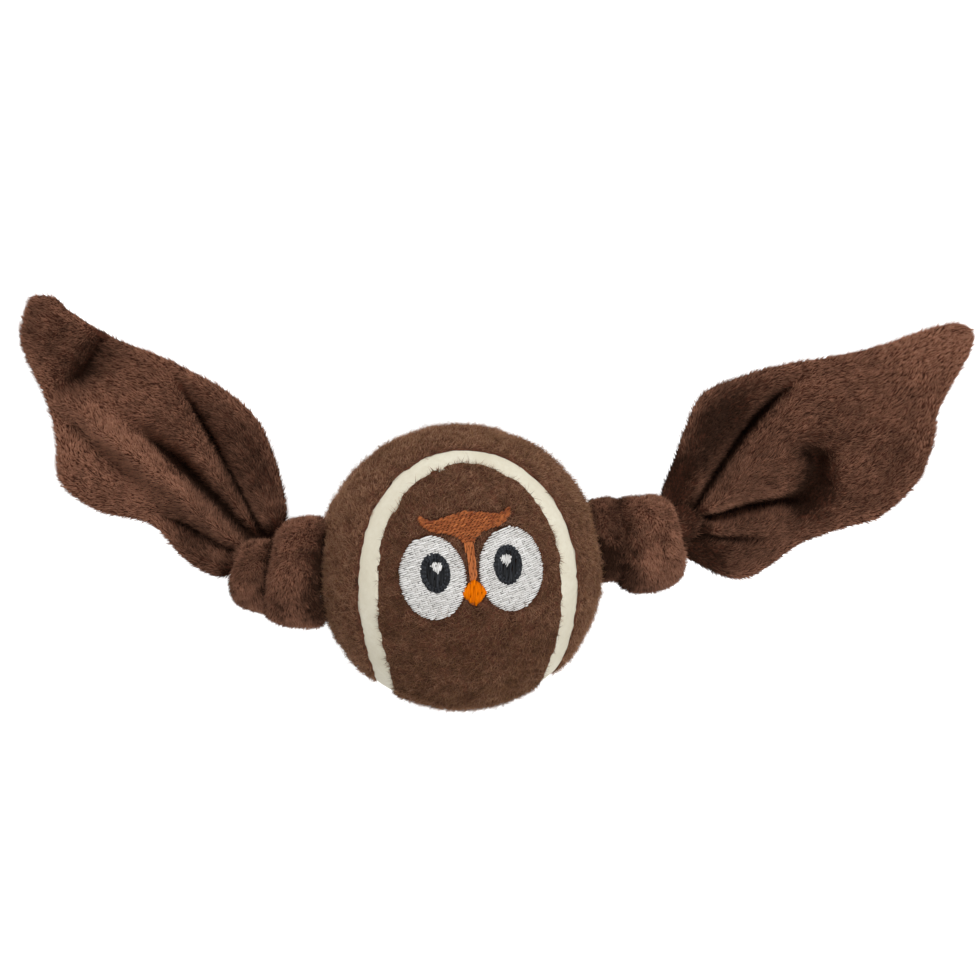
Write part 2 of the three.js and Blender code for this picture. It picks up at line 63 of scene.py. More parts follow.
UV_EDGE = 0.005
BALL_RADIUS = 32.5
BALL_HEIGHT = 32.0
log = logging.getLogger("owl_toy")


class Choice(Enum):
    """A named option, whose name is part of the names of pieces."""

    @property
    def label(self) -> str:
        """The option's name as it stands in the names of pieces."""
        return self.name.lower()


class Side(Choice):
    """A side of the toy as the picture shows it, with the sign of its X."""

    LEFT = -1
    RIGHT = 1


class Layer(Choice):
    """A wing's front layer, which faces up, or its back layer, which lies on the floor."""

    FRONT = 1
    BACK = -1


class Panel(Choice):
    """The felt panel under the face or the one round the ball's sides, with its side of the seam."""

    FACE = 1
    SIDE = -1


# Arrays


HASH_STEPS = np.array([73856093, 19349663, 83492791])
HASH_SEED = 26544357
HASH_STIR = 1274126177


def unit(vectors: Array) -> Array:
    """Vectors scaled to length 1, along the last axis."""
    return vectors / np.maximum(np.linalg.norm(vectors, axis=-1, keepdims=True), 1e-12)


def ease(values: Array, low: float, high: float) -> Array:
    """Smooth step from 0 at low to 1 at high: 3x^2 - 2x^3 of the clamped share."""
    share = np.clip((values - low) / (high - low), 0, 1)
    return share * share * (3 - 2 * share)


def signed_power(values: Array, power: float) -> Array:
    """Power of the size of each value, with its sign kept."""
    return np.sign(values) * np.abs(values) ** power


def lattice_noise(points: Array, cell: float, seed: int) -> Array:
    """Smooth noise from -1 to 1: hashed values at the corners of cubic cells, eased between them.

    Args:
        points: Points in millimetres, along the last axis.
        cell: Side of a cell in millimetres.
        seed: Number that picks the pattern.

    Returns:
        One value for each point.
    """
    place = points / cell
    base = np.floor(place).astype(np.int64)
    share = place - base
    share = share * share * (3 - 2 * share)
    total = np.zeros(points.shape[:-1])
    for corner in itertools.product((0, 1), repeat=3):
        index = base + np.array(corner)
        mixed = np.bitwise_xor.reduce(index * HASH_STEPS, axis=-1) ^ seed * HASH_SEED
        mixed = ((mixed ^ (mixed >> 13)) * HASH_STIR) & 0x7FFFFFFF
        value = ((mixed ^ (mixed >> 15)) & 0xFFFF) / 32767.5 - 1
        total += value * np.prod(np.where(corner, share, 1 - share), axis=-1)
    return total


@dataclass(frozen=True)
class Octave:
    """One layer of noise.

    Attributes:
        weight: Largest value.
        cell: Side of a cell in millimetres.
        seed: Number that picks the pattern.
    """

    weight: float
    cell: float
    seed: int


def wander(points: Array, octaves: tuple[Octave, ...], shift: int = 0) -> Array:
    """Sum of layers of noise at points, with a shift of their seeds."""
    return sum(o.weight * lattice_noise(points, o.cell, o.seed + shift) for o in octaves)


def spline(points: Array, share: Array) -> Array:
    """Uniform Catmull-Rom curve: cubic spans whose slope at a point is half the step between its neighbours.

    Args:
        points: Points that the curve passes through, one a row.
        share: Places along the curve, from 0 to 1, with the same step for each span.

    Returns:
        The curve's points at those places.
    """
    ends = np.vstack((2 * points[:1] - points[1:2], points, 2 * points[-1:] - points[-2:-1]))
    place = np.clip(share, 0, 1) * (len(points) - 1)
    span = np.minimum(place.astype(int), len(points) - 2)
    f = (place - span)[..., None]
    before, start, stop, after = (ends[span + k] for k in range(4))
    rise = f**3 - 2 * f**2 + f
    fall = f**3 - f**2
    swing = 3 * f**2 - 2 * f**3
    return start + swing * (stop - start) + rise * (stop - before) / 2 + fall * (after - start) / 2


# Meshes


def grid_faces(rows: int, columns: int, closed: bool = False) -> Array:
    """Quads of a grid of points, with the last column joined to the first where it is closed."""
    steps = columns if closed else columns - 1
    i, j = np.meshgrid(np.arange(rows - 1), np.arange(steps), indexing="ij")
    k = (j + 1) % columns
    below, above = i * columns, (i + 1) * columns
    return np.stack((below + j, above + j, above + k, below + k), -1).reshape(-1, 4)


def triangles(quads: Array) -> Array:
    """Each quad as two triangles."""
    return np.concatenate((quads[:, [0, 1, 2]], quads[:, [0, 2, 3]]))


def grid_uv(rows: int, columns: int, low: float, high: float) -> Array:
    """Texture places for a grid: columns fill the width, and rows the height from low to high."""
    width = np.linspace(UV_EDGE, 1 - UV_EDGE, columns)
    v, u = np.meshgrid(np.linspace(low, high, rows), width, indexing="ij")
    return np.stack((u, v), -1).reshape(-1, 2)


def add_piece(name: str, points: Array, faces: Array, uv: Array, finish: "Finish") -> bpy.types.Object:
    """Makes one smooth mesh object at the origin, with its finish.

    Args:
        name: Name of the piece.
        points: Points in millimetres, one a row.
        faces: Indices of each face's points, one face a row.
        uv: Texture place of each point.
        finish: Finish that gives the piece its material.

    Returns:
        The new object.
    """
    mesh = bpy.data.meshes.new(name)
    mesh.vertices.add(len(points))
    mesh.vertices.foreach_set("co", (points * MM).astype(np.float32).ravel())
    mesh.loops.add(faces.size)
    mesh.loops.foreach_set("vertex_index", faces.astype(np.int32).ravel())
    mesh.polygons.add(len(faces))
    mesh.polygons.foreach_set("loop_start", np.arange(0, faces.size, faces.shape[1], dtype=np.int32))
    mesh.polygons.foreach_set("use_smooth", np.ones(len(faces), dtype=bool))
    mesh.uv_layers.new(name=BAKE_UV).data.foreach_set("uv", uv[faces.ravel()].astype(np.float32).ravel())
    mesh.materials.append(finish.material())
    mesh.update(calc_edges=True)
    piece = bpy.data.objects.new(name, mesh)
    bpy.context.scene.collection.objects.link(piece)
    log.info("%s: %d points, %d faces", name, len(points), len(faces))
    return piece


def add_slab(name: str, outer: Array, inner: Array, finish: "Finish") -> bpy.types.Object:
    """Closed solid between two surfaces on one grid: both surfaces, and a wall round the grid's border.

    Args:
        name: Name of the piece.
        outer: Outer surface, rows by columns by 3, whose row step crosses its column step outwards.
        inner: Inner surface on the same grid.
        finish: Finish of the piece.

    Returns:
        The new object.
    """
    rows, columns = outer.shape[:2]
    count = rows * columns
    quads = grid_faces(rows, columns)
    index = np.arange(count).reshape(rows, columns)
    border = np.concatenate((index[:-1, 0], index[-1, :-1], index[:0:-1, -1], index[0, :0:-1]))
    following = np.roll(border, -1)
    wall = np.stack((following, border, border + count, following + count), -1)
    points = np.concatenate((outer.reshape(-1, 3), inner.reshape(-1, 3)))
    faces = triangles(np.concatenate((quads, quads[:, ::-1] + count, wall)))
    front = grid_uv(rows, columns, UV_EDGE, 0.5 - UV_EDGE)
    back = grid_uv(rows, columns, 0.5 + UV_EDGE, 1 - UV_EDGE)
    uv = np.concatenate((front, back))
    return add_piece(name, points, faces, uv, finish)


def tube_faces(rings: int, sides: int) -> Array:
    """Triangles of a closed tube: its wall, and a fan at each end round the point that follows the rings."""
    j = np.arange(sides)
    k = (j + 1) % sides
    last = (rings - 1) * sides
    start, end = np.full(sides, rings * sides), np.full(sides, rings * sides + 1)
    caps = np.concatenate((np.stack((start, j, k), -1), np.stack((end, last + k, last + j), -1)))
    return np.concatenate((triangles(grid_faces(rings, sides, True)), caps))


def add_tube(name: str, rings: Array, finish: "Finish") -> bpy.types.Object:
    """Closed tube through rings of points, rings by sides by 3, whose faces point outwards."""
    count, sides = rings.shape[:2]
    points = np.concatenate((rings.reshape(-1, 3), rings[:1].mean(1), rings[-1:].mean(1)))
    low, high = UV_EDGE, 1 - UV_EDGE
    uv = np.concatenate((grid_uv(count, sides, low, high), [[0.5, low], [0.5, high]]))
    return add_piece(name, points, tube_faces(count, sides), uv, finish)


@dataclass
class Skin:
    """A surface on a grid of points, which pile can grow on.

    Attributes:
        points: Grid of points, rows by columns by 3, whose row step crosses its column step outwards.
        lay: Direction that the pile is brushed in at each point, of any length.
        density: Relative number of fibres at each point.
        tone: Shift of the fibres' tint at each point: painted shade and painted light, with random blotches.
        closed: Whether the last column joins the first.
    """

    points: Array
    lay: Array
    density: Array
    tone: Array
    closed: bool = False

    def normals(self) -> Array:
        """Outward unit normals: the row step crossed with the column step."""
        rows = np.gradient(self.points, axis=0)
        if self.closed:
            columns = np.roll(self.points, -1, 1) - np.roll(self.points, 1, 1)
        else:
            columns = np.gradient(self.points, axis=1)
        return unit(np.cross(rows, columns))

    def turned_outwards(self, middle: Array) -> "Skin":
        """The same skin with its columns reversed if it faces the given middle points."""
        if np.sum(self.normals() * (self.points - middle)) > 0:
            return self
        grids = (grid[:, ::-1] for grid in (self.points, self.lay, self.density, self.tone))
        return Skin(*grids, self.closed)


@dataclass(frozen=True)
class Pile:
    """Short fibres rooted all over a skin, each a thin closed spike of one or more straight segments.

    Attributes:
        count: Number of fibres.
        length: Mean length.
        width: Width at the root.
        lift: Mean angle above the skin, in degrees.
        lift_spread: Spread of that angle from fibre to fibre, in degrees.
        swirl: How far the lay swings in slow swirls, in degrees.
        swirl_cell: Size of the swirls.
        scatter: How far each fibre strays from its neighbours, in degrees.
        sink: Depth of the root below the skin.
        seed: Seed of the random draws.
        clump: How much the tint changes between clumps of fibres.
        segments: Number of straight segments of a fibre.
        bend: Largest turn from root to tip, in degrees.
        corners: Number of points round a fibre.
        lift_limits: Least and largest angle above the skin.
        length_spread: Spread of the length from fibre to fibre, as a share.
        length_limits: Least and largest length, as shares.
        clumps: Noise of the clumps' tint, whose seeds count on from the pile's.
        tint_spread: Spread of the tint from fibre to fibre.
        tint_limits: Least and largest tint.
    """

    count: int
    length: float
    width: float
    lift: float
    lift_spread: float
    swirl: float
    swirl_cell: float
    scatter: float
    sink: float
    seed: int
    clump: float = 0.25
    segments: int = 1
    bend: float = 0.0
    corners: ClassVar[int] = 3
    lift_limits: ClassVar[tuple[float, float]] = (4, 85)
    length_spread: ClassVar[float] = 0.25
    length_limits: ClassVar[tuple[float, float]] = (0.4, 1.6)
    clumps: ClassVar[tuple[Octave, ...]] = (Octave(1.0, 1.3, 2), Octave(0.5, 7.0, 3))
    tint_spread: ClassVar[float] = 0.14
    tint_limits: ClassVar[tuple[float, float]] = (0.03, 0.97)

    def scatter_roots(self, skin: Skin, draw: np.random.Generator) -> tuple[Array, Array, Array, Array]:
        """Draws roots evenly by area and density.

        Args:
            skin: Surface that the fibres grow on.
            draw: Source of the random draws.

        Returns:
            Root, normal, lay along the skin and tone of each fibre.
        """
        grids = [skin.points, skin.normals(), skin.lay, skin.density[..., None], skin.tone[..., None]]
        if skin.closed:
            grids = [np.concatenate((grid, grid[:, :1]), axis=1) for grid in grids]
        cells = [(grid[:-1, :-1], grid[1:, :-1], grid[1:, 1:], grid[:-1, 1:]) for grid in grids]
        a, b, c, d = cells[0]
        area = np.linalg.norm(np.cross(c - a, d - b), axis=-1)
        chance = (area * sum(cells[3])[..., 0]).ravel()
        chosen = draw.choice(chance.size, self.count, p=chance / chance.sum())
        u, v = draw.random((2, self.count, 1))
        weights = ((1 - u) * (1 - v), u * (1 - v), u * v, (1 - u) * v)
        root, normal, lay, _, tone = (
            sum(w * corner.reshape(-1, corner.shape[-1])[chosen] for w, corner in zip(weights, group))
            for group in cells
        )
        normal = unit(normal)
        lay = unit(lay - normal * np.sum(lay * normal, -1, keepdims=True))
        return root, normal, lay, tone[:, 0]

    def directions(self, root: Array, normal: Array, lay: Array, draw: np.random.Generator) -> Array:
        """Directions along each fibre, where its segments start and at its tip.

        A fibre leaves its root along cos(lift) of its lay plus sin(lift) of the normal. Its lay is turned
        about the normal by a slow swirl, a scatter of its own and a bend that grows to its tip.

        Args:
            root: Root of each fibre.
            normal: Normal at each root.
            lay: Lay at each root.
            draw: Source of the random draws.

        Returns:
            Unit directions, fibres by segments plus 1 by 3.
        """
        share = np.arange(self.segments + 1) / self.segments
        drift = lattice_noise(root, self.swirl_cell, self.seed)
        swing = self.swirl * drift + self.scatter * draw.standard_normal(self.count)
        bend = self.bend * draw.uniform(-1, 1, self.count)
        turn = np.radians(swing[:, None] + bend[:, None] * share)[..., None]
        rise = lattice_noise(root, self.swirl_cell, self.seed + 1) + draw.standard_normal(self.count)
        lift = np.radians(np.clip(self.lift + self.lift_spread * rise, *self.lift_limits))[:, None, None]
        heading = lay[:, None] * np.cos(turn) + np.cross(normal, lay)[:, None] * np.sin(turn)
        return heading * np.cos(lift) + normal[:, None] * np.sin(lift)

    def spikes(self, root: Array, normal: Array, along: Array, draw: np.random.Generator) -> Array:
        """Points of each fibre: a ring where each segment starts, which shrinks along the fibre, and the tip.

        Args:
            root: Root of each fibre.
            normal: Normal at each root.
            along: Directions along each fibre.
            draw: Source of the random draws.

        Returns:
            Points, fibres by points by 3, none of them below the floor.
        """
        spread = 1 + self.length_spread * draw.standard_normal((self.count, 1, 1))
        length = self.length * np.clip(spread, *self.length_limits)
        steps = np.concatenate((-self.sink * normal[:, None], along[:, :-1] * length / self.segments), axis=1)
        line = root[:, None] + np.cumsum(steps, axis=1)
        side = unit(np.cross(along, normal[:, None]))[:, :-1, None]
        up = np.cross(side, along[:, :-1, None])
        around = np.arange(self.corners)[:, None] * math.tau / self.corners
        spin = draw.random((self.count, 1, 1, 1)) * math.tau + around
        thick = self.width / 2 * (1 - np.arange(self.segments) / self.segments)[:, None, None]
        rings = line[:, :-1, None] + thick * (np.cos(spin) * side + np.sin(spin) * up)
        points = np.concatenate((rings.reshape(self.count, -1, 3), line[:, -1:]), axis=1)
        points[..., 2] = np.maximum(points[..., 2], 0)
        return points

    def spike_faces(self) -> Array:
        """Triangles of one fibre: its wall, its root and the three faces that meet at its tip."""
        tip = self.corners * self.segments
        wall = triangles(grid_faces(self.segments, self.corners, True))[:, ::-1]
        a, b, c = tip - 3, tip - 2, tip - 1
        return np.concatenate((wall, [[0, 1, 2], [b, a, tip], [c, b, tip], [a, c, tip]]))

    def grow(self, name: str, skin: Skin, finish: "Fibre") -> bpy.types.Object:
        """Grows the fibres and makes them one piece.

        A fibre's texture place is its tint across, slightly spread round the fibre, and the share of its
        length up, which the material turns into painted shade at the root and painted light at the tip.

        Args:
            name: Name of the piece.
            skin: Surface that the fibres grow on.
            finish: Finish of the fibres.

        Returns:
            The new object.
        """
        draw = np.random.default_rng(self.seed)
        root, normal, lay, tone = self.scatter_roots(skin, draw)
        along = self.directions(root, normal, lay, draw)
        points = self.spikes(root, normal, along, draw)
        size = points.shape[1]
        faces = (np.arange(self.count)[:, None, None] * size + self.spike_faces()).reshape(-1, 3)
        spread = self.tint_spread * draw.standard_normal(self.count)
        clump = self.clump * wander(root, self.clumps, self.seed)
        # Tint: the skin's tone, which carries painted shade and painted light, plus random clumps and spread
        tint = np.clip(0.5 + tone + clump + spread, *self.tint_limits)
        margin = 0.02
        across = tint[:, None] + margin / 2 * np.cos(np.arange(size) * math.tau / self.corners)
        # Share of the length up: painted shade at the root, painted light at the tip
        share = np.append(np.repeat(np.arange(self.segments) / self.segments, self.corners), 1)
        upward = np.broadcast_to(margin + (1 - 2 * margin) * share, across.shape)
        uv = np.stack((across, upward), -1).reshape(-1, 2)
        return add_piece(name, points.reshape(-1, 3), faces, uv, finish)


# Finishes


def linear(code: str) -> tuple[float, float, float, float]:
    """Scene colour with alpha 1 for a display colour such as "#4c2e22"."""
    shares = [int(code[k : k + 2], 16) / 255 for k in (1, 3, 5)]
    return (*(x / 12.92 if x <= 0.04045 else ((x + 0.055) / 1.055) ** 2.4 for x in shares), 1.0)


def node_group(name: str, inputs: dict[str, str], outputs: dict[str, str]) -> bpy.types.ShaderNodeTree:
    """Empty shader node group with named sockets.

    Args:
        name: Name of the group.
        inputs: Socket type of each input, by name.
        outputs: Socket type of each output, by name.

    Returns:
        The group, with its input and output nodes placed.
    """
    group = bpy.data.node_groups.new(name, "ShaderNodeTree")
    for label, kind in inputs.items():
        group.interface.new_socket(label, in_out="INPUT", socket_type=kind)
    for label, kind in outputs.items():
        group.interface.new_socket(label, in_out="OUTPUT", socket_type=kind)
    group.nodes.new("NodeGroupInput")
    group.nodes.new("NodeGroupOutput")
    return group


# Sockets of a Mix node that mixes colours
MIX_INPUTS = (0, 6, 7)
MIX_OUTPUT = 2


def mix_colour(
    tree: bpy.types.NodeTree,
    factor: bpy.types.NodeSocket,
    first: bpy.types.NodeSocket,
    second: bpy.types.NodeSocket,
) -> bpy.types.NodeSocket:
    """Colour between two colour sockets.

    Args:
        tree: Node tree that gets the node.
        factor: Socket with the share of the second colour.
        first: Socket with the colour at share 0.
        second: Socket with the colour at share 1.

    Returns:
        The socket with the mixed colour.
    """
    node = tree.nodes.new("ShaderNodeMix")
    node.data_type = "RGBA"
    for socket, index in zip((factor, first, second), MIX_INPUTS):
        tree.links.new(socket, node.inputs[index])
    return node.outputs[MIX_OUTPUT]


def fibre_group() -> bpy.types.ShaderNodeTree:
    """Shared group: a fibre's colour, from its root in painted shade to its tip in painted light, and from
    dark to pale fibres.
    """
    name = "fibre_colour"
    if name in bpy.data.node_groups:
        return bpy.data.node_groups[name]
    shares = dict.fromkeys(("Tint", "Along"), "NodeSocketFloat")
    colours = dict.fromkeys(("Root", "Tip", "Pale Root", "Pale Tip"), "NodeSocketColor")
    group = node_group(name, shares | colours, {"Colour": "NodeSocketColor"})
    source = group.nodes["Group Input"].outputs
    dark = mix_colour(group, source["Along"], source["Root"], source["Tip"])
    pale = mix_colour(group, source["Along"], source["Pale Root"], source["Pale Tip"])
    mixed = mix_colour(group, source["Tint"], dark, pale)
    group.links.new(mixed, group.nodes["Group Output"].inputs["Colour"])
    return group


def mottle_group() -> bpy.types.ShaderNodeTree:
    """Shared group: a coarse noise times a fine one shifts a colour, and the fine one raises a surface."""
    name = "mottle"
    details = {"Coarse": 3.0, "Fine": 4.0}
    roughness = 0.6
    dark_level, base_level = 0.12, 0.42
    if name in bpy.data.node_groups:
        return bpy.data.node_groups[name]
    colour, value = "NodeSocketColor", "NodeSocketFloat"
    inputs = {"Vector": "NodeSocketVector", "Base": colour, "Dark": colour, "Coarse": value, "Fine": value}
    group = node_group(name, inputs, {"Colour": colour, "Height": value})
    source = group.nodes["Group Input"].outputs
    noises = []
    for label, detail in details.items():
        noise = group.nodes.new("ShaderNodeTexNoise")
        noise.inputs["Detail"].default_value = detail
        noise.inputs["Roughness"].default_value = roughness
        group.links.new(source["Vector"], noise.inputs["Vector"])
        group.links.new(source[label], noise.inputs["Scale"])
        noises.append(noise.outputs[0])
    product = group.nodes.new("ShaderNodeMath")
    product.operation = "MULTIPLY"
    for socket, slot in zip(noises, product.inputs):
        group.links.new(socket, slot)
    spread = group.nodes.new("ShaderNodeMapRange")
    spread.inputs["From Min"].default_value = dark_level
    spread.inputs["From Max"].default_value = base_level
    group.links.new(product.outputs[0], spread.inputs["Value"])
    mixed = mix_colour(group, spread.outputs[0], source["Dark"], source["Base"])
    group.links.new(mixed, group.nodes["Group Output"].inputs["Colour"])
    group.links.new(noises[1], group.nodes["Group Output"].inputs["Height"])
    return group


@dataclass(frozen=True)
class Finish:
    """What every finish has.

    Attributes:
        name: Name of the material.
        slot: Name of its material slot; not used.
        roughness: Roughness of the surface.
        specular: Strength of its mirror reflection.
        sheen: Weight of the soft glow of fibres seen along the surface.
        sheen_tint: Display colour of that glow.
        sheen_roughness: How widely it spreads.
    """

    name: str
    slot: str
    roughness: float
    specular: float
    sheen: float
    sheen_tint: str
    sheen_roughness: ClassVar[float] = 0.5

    def material(self) -> bpy.types.Material:
        """The finish's material, made the first time it is asked for."""
        if self.name in bpy.data.materials:
            return bpy.data.materials[self.name]
        material = bpy.data.materials.new(self.name)
        material.use_nodes = True
        shader = material.node_tree.nodes["Principled BSDF"]
        values = {
            "Roughness": self.roughness,
            "Specular IOR Level": self.specular,
            "Sheen Weight": self.sheen,
            "Sheen Roughness": self.sheen_roughness,
            "Sheen Tint": linear(self.sheen_tint),
        }
        for label, value in values.items():
            shader.inputs[label].default_value = value
        self.paint(material.node_tree, shader)
        return material

    def paint(self, tree: bpy.types.NodeTree, shader: bpy.types.Node) -> None:
        """Adds the nodes that colour the shader.

        Args:
            tree: The material's node tree.
            shader: Its Principled BSDF node.
        """
        raise NotImplementedError


@dataclass(frozen=True)
class Fibre(Finish):
    """Pile, fuzz or thread, coloured by its texture place: tint across, share of its length or crown up.

    The dark roots and thread sides are painted shade, and the pale tips and thread crowns are painted light.

    Attributes:
        root: Display colour of a dark fibre's root or side, darkened as painted shade.
        tip: Display colour of a dark fibre's tip or crown, paled as painted light.
        pale_root: Display colour of a pale fibre's root or side, darkened as painted shade.
        pale_tip: Display colour of a pale fibre's tip or crown, paled as painted light.
    """

    root: str
    tip: str
    pale_root: str
    pale_tip: str

    def paint(self, tree: bpy.types.NodeTree, shader: bpy.types.Node) -> None:
        """Feeds the shared fibre colour from the piece's own texture places.

        Args:
            tree: The material's node tree.
            shader: Its Principled BSDF node.
        """
        place = tree.nodes.new("ShaderNodeUVMap")
        place.uv_map = BAKE_UV
        split = tree.nodes.new("ShaderNodeSeparateXYZ")
        tree.links.new(place.outputs[0], split.inputs[0])
        group = tree.nodes.new("ShaderNodeGroup")
        group.node_tree = fibre_group()
        tree.links.new(split.outputs["X"], group.inputs["Tint"])
        tree.links.new(split.outputs["Y"], group.inputs["Along"])
        colours = {"Root": self.root, "Tip": self.tip, "Pale Root": self.pale_root, "Pale Tip": self.pale_tip}
        for label, code in colours.items():
            group.inputs[label].default_value = linear(code)
        tree.links.new(group.outputs["Colour"], shader.inputs["Base Color"])


@dataclass(frozen=True)
class Mottled(Finish):
    """Matt surface whose colour and height wander: backing cloth, felt, cement or rubber.

    Attributes:
        base: Display colour of the raised parts.
        dark: Display colour of the low parts.
        coarse: Number of large patches in a metre.
        fine: Number of small grains in a metre.
        bump: Height of the grains, in millimetres.
    """

    base: str
    dark: str
    coarse: float
    fine: float
    bump: float

    def paint(self, tree: bpy.types.NodeTree, shader: bpy.types.Node) -> None:
        """Feeds the shared mottle from object coordinates, and its height to a bump.

        Args:
            tree: The material's node tree.
            shader: Its Principled BSDF node.
        """
        place = tree.nodes.new("ShaderNodeTexCoord")
        group = tree.nodes.new("ShaderNodeGroup")
        group.node_tree = mottle_group()
        tree.links.new(place.outputs["Object"], group.inputs["Vector"])
        values = {
            "Base": linear(self.base), "Dark": linear(self.dark), "Coarse": self.coarse, "Fine": self.fine,
        }
        for label, value in values.items():
            group.inputs[label].default_value = value
        bump = tree.nodes.new("ShaderNodeBump")
        bump.inputs["Distance"].default_value = self.bump * MM
        tree.links.new(group.outputs["Height"], bump.inputs["Height"])
        tree.links.new(group.outputs["Colour"], shader.inputs["Base Color"])
        tree.links.new(bump.outputs[0], shader.inputs["Normal"])


PLUSH_PILE = Fibre(
    name="plush_pile", slot="plush", roughness=0.85, specular=0.05, sheen=0.12, sheen_tint="#b5836a",
    root="#0c0603", tip="#261309", pale_root="#784a36", pale_tip="#d79d80",
)
PLUSH_CLOTH = Mottled(
    name="plush_cloth", slot="plush", roughness=0.95, specular=0.05, sheen=0.0, sheen_tint="#b5836a",
    base="#553225", dark="#301b13", coarse=220, fine=1800, bump=0.3,
)
FELT_FUZZ = Fibre(
    name="felt_fuzz", slot="felt", roughness=0.9, specular=0.05, sheen=0.4, sheen_tint="#cd9960",
    root="#26140d", tip="#472a20", pale_root="#704836", pale_tip="#dcaa8b",
)
FELT_CLOTH = Mottled(
    name="felt_cloth", slot="felt", roughness=1.0, specular=0.05, sheen=0.25, sheen_tint="#b98c66",
    base="#764b3a", dark="#361f18", coarse=420, fine=2600, bump=0.5,
)
CEMENT = Mottled(
    name="cement_line", slot="seam_cement", roughness=0.62, specular=0.25, sheen=0.0, sheen_tint="#ffffff",
    base="#e4decb", dark="#d9d1bb", coarse=120, fine=900, bump=0.12,
)
RUBBER = Mottled(
    name="shell_rubber", slot="core_rubber", roughness=0.8, specular=0.3, sheen=0.0, sheen_tint="#ffffff",
    base="#3c3a36", dark="#302e2b", coarse=90, fine=1200, bump=0.1,
)
WHITE_THREAD = Fibre(
    name="white_stitching", slot="white_thread", roughness=0.5, specular=0.2, sheen=0.1, sheen_tint="#ffffff",
    root="#7d7874", tip="#cdcac6", pale_root="#b9b5b1", pale_tip="#efeeec",
)
BLACK_THREAD = Fibre(
    name="black_stitching", slot="black_thread", roughness=0.5, specular=0.16, sheen=0.02,
    sheen_tint="#8f979e",
    root="#050506", tip="#0b0c0e", pale_root="#15171a", pale_tip="#3b3e44",
)
RUST_THREAD = Fibre(
    name="rust_stitching", slot="rust_thread", roughness=0.5, specular=0.14, sheen=0.08, sheen_tint="#ffc9a0",
    root="#5a2812", tip="#7a3a1c", pale_root="#8a4a24", pale_tip="#bb6d3c",
)
ORANGE_THREAD = Fibre(
    name="orange_stitching", slot="orange_thread", roughness=0.5, specular=0.03, sheen=0.0,
    sheen_tint="#ffd9a0",
    root="#b85000", tip="#dd6c00", pale_root="#c85a00", pale_tip="#ec7d00",
)


# Ball


FELT_NAP = Pile(
    count=42000, length=1.5, width=0.16, lift=30, lift_spread=18, swirl=120, swirl_cell=2.2, scatter=60,
    sink=0.1, seed=30, clump=0.3,
)
FELT_WISPS = Pile(
    count=4400, length=3.2, width=0.13, lift=19, lift_spread=15, swirl=180, swirl_cell=4.0, scatter=90,
    sink=0.05, seed=34, clump=0.26, segments=3, bend=120,
)


